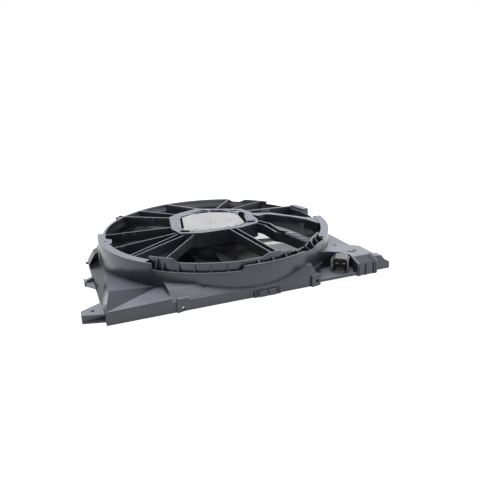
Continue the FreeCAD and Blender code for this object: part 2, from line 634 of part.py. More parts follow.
def connector_bay():
    none = "0 * wall_thick"
    deep = "bay_front - bay_back"
    roof = slab("BayRoof", "XZ_Plane", bay_profile(none), deep, "bay_back")
    front = slab("BayBox", "YZ_Plane", box_profile(none), "bay_box", "bay_step")
    steps = slab("BaySteps", "XZ_Plane", step_profile(none), "13 + 6", "bay_front - 6")
    blocks = fuse("BayBlocks", roof, front, steps)
    roof_in = slab("BayRoofIn", "XZ_Plane", bay_profile("wall_thick"), deep, "bay_back - wall_thick")
    front_in = slab("BayBoxIn", "YZ_Plane", box_profile("wall_thick"), "bay_box - 2 * wall_thick",
                    "bay_step + wall_thick")
    steps_in = slab("BayStepsIn", "XZ_Plane", step_profile("wall_thick"), "13 + 6 - wall_thick",
                    "bay_front - 6")
    keep = slab("BayWallKeep", "XY_Plane", pocket_outline("wall_thick"), "80", "-10")
    hollow = cut("BayHollow", fuse("BayHollows", roof_in, front_in, steps_in), keep)
    space = slab("BaySpace", "XY_Plane", pocket_outline(none), "80", "2 * wall_thick")
    below = slab("BayBelow", "XY_Plane", pocket_outline(none), "wall_thick + 10", "-10")
    start = box("BayBefore", "100", "bay_face", "80", "bay_start - 100", "-bay_face - 10", "-1")
    floor = slab("BayFloor", "XY_Plane", [
        ("100", "-bay_face"), ("bay_step + 10", "-bay_face"), ("bay_step + 10", "-190"),
        ("100", "-190")], "2 * wall_thick")
    ribs = [box("BayRib%d" % number, "2.4", "6", "24", x, "-bay_face - 2.4", "0")
            for number, x in enumerate(("220", "224", "240", "259", "263"))]
    inner_wall = new_body("BayInnerWall")
    spin(inner_wall, "inner_wall", [
        (SKIRT_OUT, "0"), (SKIRT_OUT + " + wall_thick", "0"),
        (SKIRT_OUT + " + wall_thick", "roof_top + wall_thick"),
        (SKIRT_OUT, "roof_top + wall_thick")], "296", "32.5")
    solid = fuse("BaySolid", cut("BayShell", blocks, hollow), floor, inner_wall, *ribs)
    slots = [box("BaySlot%d" % number, length, width, "60", x, y, "8", turn)
             for number, (length, width, x, y, turn) in enumerate((
                 ("12", "7", "229", "-150", "10"), ("11", "8", "262", "-182", "8"),
                 ("20", "6", "240", "-194", "3")))]
    ring_room = drum("BayRing", SKIRT_OUT, "80", z="-1")
    tools = fuse("BayTools", space, below, start, ring_room, *slots)
    return node(cut("ConnectorBay", solid, tools), "connector_bay")


# Connector: a shell with two blades, set on the slanting wall of the bay.

PLUG_X = "pocket_right + 8 * cos(plug_turn)"
PLUG_Y = "-pocket_back - 8 * sin(plug_turn)"


def set_plug(item):
    """Turn a piece drawn with its mouth towards -Y and put it on the bay's slanting wall."""
    item.Placement.Rotation = Rotation(Vector(0, 0, 1), 1)
    item.setExpression("Placement.Rotation.Angle", bound("-plug_turn"))
    item.setExpression("Placement.Base.x", bound("(body_left + lug_reach - body_right) / 2 + " + PLUG_X))
    item.setExpression("Placement.Base.y", bound(
        "(body_front + bracket_proud - body_back - rear_reach) / 2 + " + PLUG_Y))
    return item


def plug_outline(inset):
    """Front view of the shell: a square with cut corners."""
    half = "plug_width / 2 - " + inset
    low = "2 * wall_thick + 0.3 + " + inset
    high = "2 * wall_thick + 0.3 + plug_height - " + inset
    cut_off = "plug_width / 5 - " + inset + " / 2"
    return [("-(%s) + %s" % (half, cut_off), low), ("%s - (%s)" % (half, cut_off), low),
            (half, "%s + %s" % (low, cut_off)), (half, "%s - (%s)" % (high, cut_off)),
            ("%s - (%s)" % (half, cut_off), high), ("-(%s) + %s" % (half, cut_off), high),
            ("-(%s)" % half, "%s - (%s)" % (high, cut_off)), ("-(%s)" % half, "%s + %s" % (low, cut_off))]


def connector():
    body = new_body("ConnectorShell")
    mouth = "plug_neck + plug_depth"
    shell = outline(sketch_on(body, "shell_sketch", "XZ_Plane", "plug_neck"), plug_outline("0 * plug_wall"))
    feature(body, "Pad", "shell", shell, "plug_depth")
    socket = outline(sketch_on(body, "socket_sketch", "XZ_Plane", mouth), plug_outline("plug_wall"))
    feature(body, "Pocket", "socket", socket, "plug_depth - 6")
    neck = outline(sketch_on(body, "neck_sketch", "XZ_Plane"), [
        ("-7", "11"), ("7", "11"), ("7", "31"), ("-7", "31")])
    feature(body, "Pad", "neck", neck, "plug_neck + 1")
    latch = outline(sketch_on(body, "latch_sketch", "XZ_Plane", "plug_neck + 4"), [
        ("-plug_width / 2 + 1", "13"), ("-plug_width / 2 + 1", "30"), ("-plug_width / 2 - 3", "28"),
        ("-plug_width / 2 - 3", "15")])
    feature(body, "Pad", "latch", latch, "plug_depth - 8")
    set_plug(body)
    body.Label = "connector_shell"
    NODES["connector_shell"] = body
    middle = "2 * wall_thick + 0.3 + plug_height / 2"
    for number, x in enumerate(("-7 - blade_width / 2", "7 - blade_width / 2"), start=1):
        blade = slab("ConnectorBlade%d" % number, "XZ_Plane", [
            (x, middle + " - 0.4"), (x + " + blade_width", middle + " - 0.4"),
            (x + " + blade_width", middle + " + 0.4"), (x, middle + " + 0.4")],
            "plug_depth - 16", "plug_neck + 6")
        set_plug(blade)
        blade.Label = "connector_blade_%d" % number
        NODES[blade.Label] = blade


# Motor carrier: an open tray with the motor's seat.

MOTOR_SCREWS = (("-76", "-30"), ("-40", "-68"), ("22", "-68"), ("-68", "12"))
COVER_SCREWS = (("-71", "33"), ("6", "50"), ("48", "26"), ("58.5", "3"), ("48", "-65"), ("-2", "-83.5"),
                ("-71", "-73.5"), ("-89", "-56"))

def carrier_outline():
    return [("-carrier_left + 18", "53"), ("-carrier_left", "-40"), ("-carrier_left + 9", "-80"),
            ("-58", "-carrier_front"), ("33", "-carrier_front + 1"), ("77", "-79"),
            ("carrier_right - 12", "-56"), ("carrier_right", "3"), ("carrier_right - 11", "47"),
            ("-10", "carrier_back"), ("-65", "76")]


def cover_outline(grow):
    """Plan of the electronics cover, moved out by a gap."""
    left = "-cover_left - (%s)" % grow
    right = "cover_right + (%s)" % grow
    front = "-cover_front - (%s)" % grow
    back = "cover_back + (%s)" % grow
    return [(left + " + 18", back + " - 17"), (left + " + 47", back), ("8", back), ("50", back + " - 24"),
            (right, "5"), (right + " - 10", front + " + 20"), ("24 + (%s)" % grow, front + " + 5"),
            ("-1", front), ("-72", front + " + 10"), (left, front + " + 28"), (left + " + 6", "-19")]


def motor_carrier():
    body = new_body("MotorCarrier")
    block = outline(sketch_on(body, "block_sketch", "XY_Plane", "carrier_low"), carrier_outline())
    feature(body, "Pad", "block", block, "carrier_top - carrier_low")
    tray = outline(sketch_on(body, "tray_sketch", "XY_Plane", "carrier_top"), cover_outline("cover_gap"))
    feature(body, "Pocket", "tray", tray, "carrier_top - seat_top")
    slots = [
        slab("SlotFront", "XY_Plane", [("-97", "-62"), ("-88", "-67"), ("-82", "-79"), ("-95", "-74")],
             "14", "carrier_top - 12"),
        slab("SlotRight", "XY_Plane", [("67", "8"), ("78", "18"), ("80", "8"), ("72", "-14")],
             "20", "carrier_top - 16"),
        slab("SlotEdge", "XY_Plane", [("60", "-66"), ("58", "-72"), ("74", "-70"), ("76", "-63")],
             "14", "carrier_top - 12"),
        slab("SlotStrut", "XY_Plane", [("88", "-8"), ("96", "-16"), ("93", "-34"), ("86", "-30")],
             "20", "carrier_top - 16"),
    ]
    for number, (x, y, length) in enumerate((("-36", "66", "18"), ("-10", "76", "16"), ("14", "68", "14"),
                                             ("36", "56", "16"), ("60", "40", "14"))):
        slots.append(box("SlotRear%d" % number, length, "5", "14", x, y, "carrier_top - 12", "-22"))
    bore = drum("MotorBore", "motor_bore", "40", z="carrier_low - 2")
    screws = [drum("SeatHole%d" % number, "screw_radius", "20", x, y, "seat_top - 7")
              for number, (x, y) in enumerate(MOTOR_SCREWS)]
    return node(cut("CarrierOpen", body, fuse("CarrierTools", bore, *slots, *screws)), "motor_carrier")


# Struts: upright ribs from the barrel to the carrier, their edges on a shallow cone.

STRUTS = (
    ("strut_left", "171.6", "-112", "-20", "strut_thick"),
    ("strut_left_low", "194.2", "-112", "-62", "strut_thick"),
    ("strut_pair_upper", "209", "-108", "-72", "strut_thick"),
    ("strut_pair_lower", "211.4", "-102", "-86", "strut_thick"),
    ("strut_front_thin", "227.4", "-77", "-93", "strut_thick - 1"),
    ("strut_rear", "102.5", "-9", "105", "strut_thick + 3"),
    ("strut_rear_left", "122.7", "-70", "74", "strut_thick + 1"),
    ("strut_back_left", "136.3", "-90", "50", "strut_thick + 1"),
    ("strut_rear_right", "62", "35", "78", "strut_thick + 1"),
    ("strut_back_right", "40", "66", "58", "strut_thick + 1"),
    ("strut_right", "17.7", "96", "28", "strut_thick + 3"),
)


def strut_space(name, lift):
    """The layer that holds the struts, from the barrel to the carrier."""
    body = new_body(name)
    rise = "(carrier_top - 2 - ring_top) / (ring_bore - carrier_left)"
    inner = "carrier_left - 60"
    climb = "(ring_bore - carrier_left + 60) * " + rise
    spin(body, name + "_cone", [
        ("ring_bore", "ring_top - strut_depth + " + lift), ("ring_bore", "ring_top"),
        (inner, "ring_top + " + climb), (inner, "ring_top - strut_depth + %s + %s" % (lift, climb))])
    return body


def bar(name, angle, hub_x, hub_y, width, shift="0"):
    """Plan of a straight strut: a tall box from the barrel towards the carrier."""
    ring_x = "(ring_bore + 5) * cos(%s)" % angle
    ring_y = "(ring_bore + 5) * sin(%s)" % angle
    along = "atan2((%s) - (%s); (%s) - (%s))" % (hub_y, ring_y, hub_x, ring_x)
    side = "((%s) / 2 + (%s))" % (width, shift)
    return box(name, "ring_bore - carrier_left + 30", width, "60",
               "%s + %s * sin(%s)" % (ring_x, side, along), "%s - %s * cos(%s)" % (ring_y, side, along),
               "40", along)


def struts():
    room = drum("StrutDrum", "ring_bore", "120", z="0")
    block = slab("CarrierBlock", "XY_Plane", carrier_outline(), "60", "carrier_low - 10")
    def layer(name, lift):
        return cut(name, common(name + "_in", strut_space(name + "_space", lift), room), block)
    full = layer("StrutLayer", "0")
    raised = layer("GrooveLayer", "4")
    for label, angle, hub_x, hub_y, width in STRUTS:
        plan = bar(label + "_plan", angle, hub_x, hub_y, width)
        node(common(label + "_web", plan, full), label)
    channel = bar("ChannelPlan", "282", "13", "-98", "17")
    groove = bar("ChannelGroove", "282", "13", "-98", "17 - 2 * strut_thick")
    node(cut("ChannelStrut", common("ChannelWeb", channel, full), common("ChannelInside", groove, raised)),
         "strut_channel")
    bend = [("79", "-50"), ("107", "-82"), ("111", "-124"), ("130", "-142"), ("160", "-205"),
            ("136", "-216"), ("108", "-145"), ("93", "-135"), ("86", "-90"), ("72", "-70")]
    inside = [("79", "-54"), ("103", "-83"), ("107", "-126"), ("127", "-145"), ("156", "-206"),
              ("139", "-216"), ("111", "-147"), ("97", "-137"), ("89.5", "-92"), ("74", "-70")]
    duct = common("DuctWeb", slab("DuctPlan", "XY_Plane", bend, "60", "40"), full)
    trough = common("DuctInside", slab("DuctGroove", "XY_Plane", inside, "60", "40"), raised)
    node(cut("DuctStrut", duct, trough), "strut_duct")
    heavy = [("92", "2"), ("147", "3"), ("181", "-22"), ("215", "-44"), ("250", "-50"), ("250", "-96"),
             ("221", "-92"), ("208", "-62"), ("177", "-34"), ("130", "-10"), ("92", "-28")]
    arm = common("ArmWeb", slab("ArmPlan", "XY_Plane", heavy, "60", "40"), full)
    arch = slab("ArmArch", "YZ_Plane", [("-100", "45"), ("-100", "62"), ("20", "62"), ("20", "45")],
                "62", "142")
    node(cut("ArmStrut", arm, arch), "strut_arm")


def duct_cover():
    """Ribbed cover on the outer half of the cable duct."""
    plan = slab("DuctLid", "XY_Plane", [("111", "-147"), ("127", "-145"), ("157", "-208"), ("139", "-217")],
                "60", "40")
    lid = common("DuctLidTop", plan, strut_top("LidLayer", "0", "1.6"))
    ribs = [bar_across("DuctRib%d" % number, number) for number in range(7)]
    ridge = common("DuctRidges", fuse("DuctRibs", *ribs), strut_top("RidgeLayer", "1.6", "2.8"))
    inside = common("DuctRidgesIn", ridge, slab("DuctLidPlan", "XY_Plane", [
        ("111", "-147"), ("127", "-145"), ("157", "-208"), ("139", "-217")], "60", "40"))
    return node(cut("DuctCover", fuse("DuctCoverWhole", lid, inside), drum_outside("DuctEnd")), "duct_cover")


def bar_across(name, number):
    """One of the low ribs across the duct cover."""
    return box(name, "40", "1.6", "60", "108 + 4 * %d" % number, "-155 - 9 * %d" % number, "40", "-8")


def drum_outside(name):
    """Everything outside the barrel's bore."""
    return cut(name, drum(name + "_far", "ring_bore + 60", "140"), drum(name + "_near", "ring_bore", "140"))


def strut_top(name, low, high):
    """A layer that lies on the struts' upper edges."""
    body = new_body(name)
    rise = "(carrier_top - 2 - ring_top) / (ring_bore - carrier_left)"
    inner = "carrier_left - 60"
    climb = "(ring_bore - carrier_left + 60) * " + rise
    spin(body, name + "_cone", [
        ("ring_bore", "ring_top + " + low), ("ring_bore", "ring_top + " + high),
        (inner, "ring_top + %s + %s" % (high, climb)), (inner, "ring_top + %s + %s" % (low, climb))])
    return body


# Motor: an outer-rotor motor on an aluminium base that also holds the electronics.

def motor_base():
    body = new_body("MotorBase")
    block = outline(sketch_on(body, "block_sketch", "XY_Plane", "seat_top"), cover_outline("0 * cover_gap"))
    feature(body, "Pad", "block", block, "carrier_top - cover_thick - seat_top")
    room = outline(sketch_on(body, "room_sketch", "XY_Plane", "carrier_top - cover_thick"),
                   cover_outline("0 - base_wall"))
    feature(body, "Pocket", "room", room, "carrier_top - cover_thick - seat_top - base_floor")
    seat = "bearing_radius"
    stop = "bearing_radius - 4"
    low = "rotor_low + rotor_wall + 3"
    spin(body, "boss", [
        (seat, low), ("stator_bore", low), ("stator_bore", "seat_top + 1"), (seat, "seat_top + 1"),
        (seat, "seat_top - 8 - bearing_width"), (stop, "seat_top - 8 - bearing_width"),
        (stop, low + " + bearing_width + 2"), (seat, low + " + bearing_width + 2")])
    hole = circle(sketch_on(body, "hole_sketch", "XY_Plane", "seat_top + base_floor"), "0", "0", seat)
    feature(body, "Pocket", "hole", hole, "base_floor")
    for number, (x, y) in enumerate((("-60", "-44"), ("34", "-52"), ("34", "16"), ("-52", "24"))):
        plane = sketch_on(body, "post_sketch%d" % number, "XY_Plane", "seat_top + base_floor")
        post = circle(plane, x, y, "3.5")
        feature(body, "Pad", "post%d" % number, post, "board_top - board_thick - seat_top - base_floor")
    holes = [drum("BaseHole%d" % number, "screw_radius", "20", x, y, "seat_top - 7")
             for number, (x, y) in enumerate(MOTOR_SCREWS)]
    holes += [drum("RivetHole%d" % number, "rivet_radius", "10", x, y, "carrier_top - cover_thick - 6")
              for number, (x, y) in enumerate(COVER_SCREWS)]
    return node(cut("MotorBaseOpen", body, fuse("BaseHoles", *holes)), "motor_base")


def electronics_cover():
    body = new_body("ElectronicsCover")
    sheet_plan = outline(sketch_on(body, "sheet_sketch", "XY_Plane", "carrier_top - cover_thick"),
                         cover_outline("0 * cover_gap"))
    feature(body, "Pad", "cover_sheet", sheet_plan, "cover_thick")
    holes = [drum("CoverHole%d" % number, "rivet_radius", "10", x, y, "carrier_top - 5")
             for number, (x, y) in enumerate(COVER_SCREWS)]
    return node(cut("CoverOpen", body, fuse("CoverHoles", *holes)), "electronics_cover")


def screw_group(label, places, shank, head, low, high, head_low, head_high):
    """Screws of one kind: each a shank and a head."""
    screws = []
    for number, (x, y) in enumerate(places):
        body = drum("%s_shank%d" % (label, number), shank, "(%s) - (%s)" % (high, low), x, y, low)
        top = drum("%s_head%d" % (label, number), head, "(%s) - (%s)" % (head_high, head_low), x, y, head_low)
        screws.append(fuse("%s_%d" % (label, number), body, top))
    return node(add("Part::Compound", label + "_group", Links=screws), label)


def circuit_board():
    body = new_body("CircuitBoard")
    board = outline(sketch_on(body, "board_sketch", "XY_Plane", "board_top - board_thick"),
                    cover_outline("0 - base_wall - 2"))
    feature(body, "Pad", "board", board, "board_thick")
    node(body, "circuit_board")
    cans = [drum("Capacitor%d" % number, "5.5", "6.5", x, y, "board_top")
            for number, (x, y) in enumerate((("-50", "10"), ("-36", "10"), ("-22", "10"), ("-50", "-30")))]
    node(add("Part::Compound", "Capacitors", Links=cans), "board_capacitors")


def stator():
    body = new_body("StatorCore")
    reach = ROTOR_OUT + " - rotor_wall - magnet_thick - magnet_gap"
    spin(body, "disc", [("stator_bore", "magnet_low + 2"), (reach, "magnet_low + 2"),
                        (reach, "magnet_high - 2"), ("stator_bore", "magnet_high - 2")])
    root = "stator_bore + stator_yoke"
    shoe = reach + " - 4"
    slot = outline(sketch_on(body, "slot_sketch", "XY_Plane", "magnet_high"), [
        (root, "-4.6"), (shoe, "-9.6"), (shoe, "-1.5"), (reach + " + 2", "-1.5"), (reach + " + 2", "1.5"),
        (shoe, "1.5"), (shoe, "9.6"), (root, "4.6")])
    gap = feature(body, "Pocket", "slot", slot, "magnet_high - magnet_low")
    pattern = body.newObject("PartDesign::PolarPattern", "slots")
    pattern.Originals = [gap]
    pattern.Axis = (slot, ["N_Axis"])
    pattern.Angle = 360
    pattern.setExpression("Occurrences", bound("pole_count"))
    body.Tip = pattern
    node(body, "stator_core")
    coils = []
    for number in range(int(value("pole_count"))):
        turn = "(%d + 0.5) * 360 / pole_count" % number
        coil = new_body("Coil%d" % number)
        outer = outline(sketch_on(coil, "coil_sketch%d" % number, "YZ_Plane", root + " + 1"), [
            ("-coil_half - coil_thick", "magnet_low + 2 - coil_thick"),
            ("coil_half + coil_thick", "magnet_low + 2 - coil_thick"),
            ("coil_half + coil_thick", "magnet_high - 2 + coil_thick"),
            ("-coil_half - coil_thick", "magnet_high - 2 + coil_thick")])
        feature(coil, "Pad", "coil_block%d" % number, outer, shoe + " - 1 - (" + root + " + 1)")
        inner = outline(sketch_on(coil, "tooth_sketch%d" % number, "YZ_Plane", shoe), [
            ("-coil_half", "magnet_low + 1.9"), ("coil_half", "magnet_low + 1.9"),
            ("coil_half", "magnet_high - 1.9"), ("-coil_half", "magnet_high - 1.9")])
        feature(coil, "Pocket", "coil_room%d" % number, inner, shoe + " - " + root)
        coils.append(place(coil, turn=turn))
    node(add("Part::Compound", "Coils", Links=coils), "stator_coils")


def bearings():
    low = "rotor_low + rotor_wall + 5"
    inner = "shaft_radius + shaft_play"
    node(tube("LowerBearing", "bearing_radius", inner, low, low + " + bearing_width"), "bearing_lower")
    high = "seat_top - 8"
    node(tube("UpperBearing", "bearing_radius", inner, high + " - bearing_width", high), "bearing_upper")


def rotor():
    body = new_body("RotorCup")
    inner = ROTOR_OUT + " - rotor_wall"
    floor = "rotor_low + rotor_wall"
    spin(body, "cup", [
        ("shaft_radius", "rotor_low"), (ROTOR_OUT, "rotor_low"), (ROTOR_OUT, "rotor_top"),
        (inner, "rotor_top"), (inner, floor), ("shaft_radius + 4", floor),
        ("shaft_radius + 4", floor + " + 2.5"), ("shaft_radius", floor + " + 2.5")])
    holes = [drum("RotorHole%d" % number, "screw_radius", "10", x, y, "rotor_low - 2")
             for number, (x, y) in enumerate(FAN_SCREWS)]
    node(cut("RotorOpen", body, fuse("RotorHoles", *holes)), "rotor_cup")
    outer = value(inner)
    depth = value("magnet_thick")
    low = value("magnet_low")
    tall = value("magnet_high") - low
    count = 10
    shells = []
    for number in range(count):
        outside = Part.makeCylinder(outer, tall, Vector(0, 0, low), Vector(0, 0, 1), 360 / count - 1.5)
        inside = Part.makeCylinder(outer - depth, tall + 2, Vector(0, 0, low - 1))
        piece = outside.cut(inside)
        piece.rotate(Vector(), Vector(0, 0, 1), number * 360 / count)
        shells.append(piece)
    magnets = doc.addObject("Part::Feature", "Magnets")
    magnets.Shape = Part.makeCompound(shells)
    node(magnets, "rotor_magnets")
    node(drum("Shaft", "shaft_radius", "shaft_high - rotor_low", z="rotor_low"), "motor_shaft")


FAN_SCREWS = (("30", "0"), ("-15", "25.98"), ("-15", "-25.98"))


# Fan: a hub, swept blades and the band that joins their tips.

def blade_section(radius, angle, chord, pitch, thick, middle):
    """A cambered section across a radius, its lower edge ahead of its upper one."""
    def at(along, off):
        lift = off * math.cos(pitch) - along * math.sin(pitch)
        across = along * math.cos(pitch) + off * math.sin(pitch)
        return Vector(radius * math.cos(angle) - across * math.sin(angle),
                      radius * math.sin(angle) + across * math.cos(angle), middle + lift)
    camber = 0.05 * chord
    half = chord / 2
    upper = Part.BSplineCurve()
    upper.interpolate([at(-half, thick / 4), at(-half / 3, camber + thick / 2),
                       at(half / 3, camber + thick / 2), at(half, thick / 4)])
    lower = Part.BSplineCurve()
    lower.interpolate([at(half, -thick / 4), at(half / 3, camber - thick / 2),
                       at(-half / 3, camber - thick / 2), at(-half, -thick / 4)])
    front = Part.LineSegment(at(half, thick / 4), at(half, -thick / 4))
    back = Part.LineSegment(at(-half, -thick / 4), at(-half, thick / 4))
    return Part.Wire([upper.toShape(), front.toShape(), lower.toShape(), back.toShape()])


def fan_wheel():
    body = new_body("FanHub")
    inner = "hub_radius - hub_wall"
    lip = ROTOR_OUT + " + 2"
    spin(body, "hub_cup", [
        ("shaft_radius + 3", "hub_low"), ("hub_radius - 12", "hub_low"), ("hub_radius", "hub_low + 8"),
        ("hub_radius", "hub_top"), (lip, "hub_top"), (lip, "hub_top - hub_wall"),
        (inner, "hub_top - hub_wall"), (inner, "hub_low + 9"), ("hub_radius - 13", "rotor_low"),
        ("shaft_radius + 3", "rotor_low")])
    holes = [drum("HubHole%d" % number, "screw_radius", "10", x, y, "hub_low - 2")
             for number, (x, y) in enumerate(FAN_SCREWS)]
    hub = cut("HubOpen", body, fuse("HubHoles", *holes))
    band = new_body("FanBand")
    lip = "band_inner + band_wall"
    spin(band, "band", [("band_inner", "band_low"), (lip, "band_low"), (lip, "band_high"),
                        ("band_inner", "band_high")])
    root = value("hub_radius - 12")
    tip = value("band_inner + band_wall")
    middle = value("(band_low + band_high) / 2")
    sections = []
    for step in (0, 0.33, 0.67, 1):
        radius = root + step * (tip - root)
        angle = math.radians(value("blade_angle") + step * value("blade_sweep"))
        chord = value("blade_root") + step * (value("blade_tip") - value("blade_root"))
        pitch = math.radians(value("root_pitch") + step * (value("tip_pitch") - value("root_pitch")))
        sections.append(blade_section(radius, angle, chord, pitch, value("blade_thick"), middle))
    span = value("band_high - band_low") + 20
    foot = Vector(0, 0, value("band_low") - 10)
    first = Part.makeLoft(sections, True, False)
    first = first.common(Part.makeCylinder(value("band_inner + band_wall / 2"), span, foot))
    first = first.cut(Part.makeCylinder(value("hub_radius - hub_wall / 2"), span, foot))
    blades = []
    for number in range(int(value("blade_count"))):
        blade = doc.addObject("Part::Feature", "Blade%d" % number)
        blade.Shape = first.copy()
        blade.Placement.Rotation = Rotation(Vector(0, 0, 1), number * 360 / value("blade_count"))
        blades.append(blade)
    return node(fuse("FanWheel", hub, band, *blades), "fan_wheel")


def build():
    ring_barrel()
    ring_skirt()
    plenum()
    front_left_lug()
    left_lug()
    rear_left_lug()
    rear_lug()
    rim_socket()
    rim_block()
    connector_bay()
    connector()
    motor_carrier()
    struts()
    duct_cover()
    motor_base()
    electronics_cover()
    circuit_board()
    stator()
    bearings()
    screw_group("motor_screws", MOTOR_SCREWS, "screw_radius", "1.6 * screw_radius", "seat_top - 7",
                "seat_top + base_floor", "seat_top + base_floor", "seat_top + base_floor + 3")
    screw_group("cover_screws", COVER_SCREWS, "rivet_radius", "2.2 * rivet_radius",
                "carrier_top - cover_thick - 6", "carrier_top", "carrier_top", "carrier_top + 1.2")
    fan_wheel()
    rotor()
    screw_group("fan_screws", FAN_SCREWS, "screw_radius", "2.2 * screw_radius", "hub_low",
                "rotor_low + rotor_wall", "hub_low - 2.5", "hub_low")


def check():
    """Stop if anything failed to build."""
    for item in doc.Objects:
        if "Invalid" in item.State or "Error" in item.State:
            raise RuntimeError("%s failed: %s" % (item.Label, item.State))
    for label, item in NODES.items():
        if item.Shape.isNull() or not item.Shape.isValid() or not item.Shape.Solids:
            raise RuntimeError(label + " has no valid solid")


def export():
    os.makedirs("parts", exist_ok=True)
    for label, item in NODES.items():
        item.Shape.exportStep("parts/" + label + ".step")


build()
doc.recompute()
check()
export()
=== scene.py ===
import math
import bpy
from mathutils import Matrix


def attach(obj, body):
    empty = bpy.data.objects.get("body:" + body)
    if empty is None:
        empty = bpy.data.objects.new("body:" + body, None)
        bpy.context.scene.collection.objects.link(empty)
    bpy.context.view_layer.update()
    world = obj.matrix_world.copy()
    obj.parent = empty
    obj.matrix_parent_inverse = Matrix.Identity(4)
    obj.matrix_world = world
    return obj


bl_info = {
    "name": "Radiator fan shroud",
    "version": (1, 0, 0),
    "blender": (4, 5, 0),
    "location": "3D View > Sidebar > Shroud",
    "description": "Finishes and small mouldings for a radiator fan shroud",
    "category": "Object",
}

import bpy
from mathutils import Matrix, Vector

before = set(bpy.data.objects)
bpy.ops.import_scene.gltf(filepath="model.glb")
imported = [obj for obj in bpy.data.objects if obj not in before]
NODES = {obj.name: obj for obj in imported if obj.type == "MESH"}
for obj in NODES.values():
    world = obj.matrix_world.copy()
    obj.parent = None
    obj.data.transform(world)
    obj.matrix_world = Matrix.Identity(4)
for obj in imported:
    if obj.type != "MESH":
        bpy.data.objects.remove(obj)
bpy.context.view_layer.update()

MM = 0.001
# The fan's axis in the frame.
AXIS = Vector((8 * MM, -8.5 * MM, 0))

MOULDED = ("ring_barrel", "ring_skirt", "plenum", "lug_front_left", "lug_left", "lug_rear_left",
           "lug_rear", "rim_socket", "rim_block", "connector_bay")
STRUTS = ("strut_left", "strut_left_low", "strut_pair_upper", "strut_pair_lower",
          "strut_front_thin", "strut_rear", "strut_rear_left", "strut_back_left",
          "strut_rear_right", "strut_back_right", "strut_right", "strut_channel", "strut_duct",
          "strut_arm")
CLEAN_STRUTS = ("strut_rear_right", "strut_back_right")

WHITE = (1.0, 1.0, 1.0)
BLACK = (0.0, 0.0, 0.0)


# Node trees: sockets that can be added, scaled and compared as numbers are.

# Where a Mix node for colours has its factor, its two colours and its result.
MIX_FACTOR, MIX_FIRST, MIX_SECOND, MIX_RESULT = 0, 6, 7, 2


class Sock:
    """A node's output, with arithmetic that adds Math nodes."""

    def __init__(self, made, socket):
        self.made = made
        self.socket = socket

    def __add__(self, other):
        return self.made.maths("ADD", self, other)

    __radd__ = __add__

    def __mul__(self, other):
        return self.made.maths("MULTIPLY", self, other)

    __rmul__ = __mul__

    def __sub__(self, other):
        return self.made.maths("SUBTRACT", self, other)

    def __rsub__(self, other):
        return self.made.maths("SUBTRACT", other, self)

    def __gt__(self, other):
        return self.made.maths("GREATER_THAN", self, other)

    def __lt__(self, other):
        return self.made.maths("LESS_THAN", self, other)

    def __abs__(self):
        return self.made.maths("ABSOLUTE", self)

    def step(self, low, high):
        """0 below low, 1 above high and smooth between."""
        return self.made.node("ShaderNodeMapRange", {"interpolation_type": "SMOOTHSTEP"},
                              {"Value": self, "From Min": low, "From Max": high})[0]


class Tree:
    """A node tree of a material or the world."""

    def __init__(self, tree):
        self.tree = tree

    def node(self, kind, settings=None, sockets=None):
        """Adds a node, sets it up and feeds its sockets. Outputs come back by number or name."""
        made = self.tree.nodes.new(kind)
        for name, value in (settings or {}).items():
            setattr(made, name, value)
        for name, value in (sockets or {}).items():
            self.feed(made.inputs[name], value)
        outputs = {}
        for number, output in enumerate(made.outputs):
            outputs[number] = Sock(self, output)
            outputs[output.name] = outputs[number]
        return outputs

    def feed(self, target, value):
        """Links a socket or sets its value. A colour of three numbers becomes opaque."""
        if isinstance(value, Sock):
            self.tree.links.new(value.socket, target)
        elif target.type == "RGBA" and len(value) == 3:
            target.default_value = (*value, 1.0)
        else:
            target.default_value = value

    def maths(self, operation, *values):
        return self.node("ShaderNodeMath", {"operation": operation}, dict(enumerate(values)))[0]

    def seen(self):
        """1 for what the camera or a reflection sees, 0 for other light."""
        path = self.node("ShaderNodeLightPath")
        return self.maths("MAXIMUM", path["Is Camera Ray"], path["Is Glossy Ray"])


# Normals whose height is between these go from plain to paler: partly dust, partly a painted sheen
# for the light that grazes top faces.
DUST_AND_SHEEN_FROM, DUST_AND_SHEEN_TO = 0.955, 0.985


class Made(Tree):
    """One material and its node tree. Noise scales count features to the metre."""

    def __init__(self, name):
        self.material = bpy.data.materials.new(name)
        self.material.use_nodes = True
        super().__init__(self.material.node_tree)
        self.shader = self.tree.nodes["Principled BSDF"]
        self.place = self.node("ShaderNodeTexCoord")["Object"]

    def noise(self, scale, detail=3.0, rough=0.5, place=None):
        return self.node("ShaderNodeTexNoise", None, {
            "Vector": place or self.place, "Scale": scale, "Detail": detail,
            "Roughness": rough})["Fac"]

    def stretched(self, scale, turn=0.0):
        """Places for a pattern that is stretched and turned."""
        return self.node("ShaderNodeMapping", None, {
            "Vector": self.place, "Scale": scale, "Rotation": (0.0, 0.0, turn)})["Vector"]

    def colour(self, mask, first, second):
        """Mixes two colours by a mask."""
        return self.node("ShaderNodeMix", {"data_type": "RGBA"}, {
            MIX_FACTOR: mask, MIX_FIRST: first, MIX_SECOND: second})[MIX_RESULT]

    def axes(self, place=None):
        made = self.node("ShaderNodeSeparateXYZ", None, {0: place or self.place})
        return made["X"], made["Y"], made["Z"]

    def upward(self):
        """1 where the surface looks straight up."""
        normal = self.node("ShaderNodeNewGeometry")["Normal"]
        return self.axes(normal)[2].step(DUST_AND_SHEEN_FROM, DUST_AND_SHEEN_TO)

    def bump(self, height, distance):
        return self.node("ShaderNodeBump", None, {"Height": height, "Distance": distance})["Normal"]

    def finish(self, **inputs):
        """Feeds the shader's sockets and gives the material back."""
        for name, value in inputs.items():
            label = name.replace("_", " ").title().replace("Ior", "IOR")
            self.feed(self.shader.inputs[label], value)
        return self.material


# Finishes.

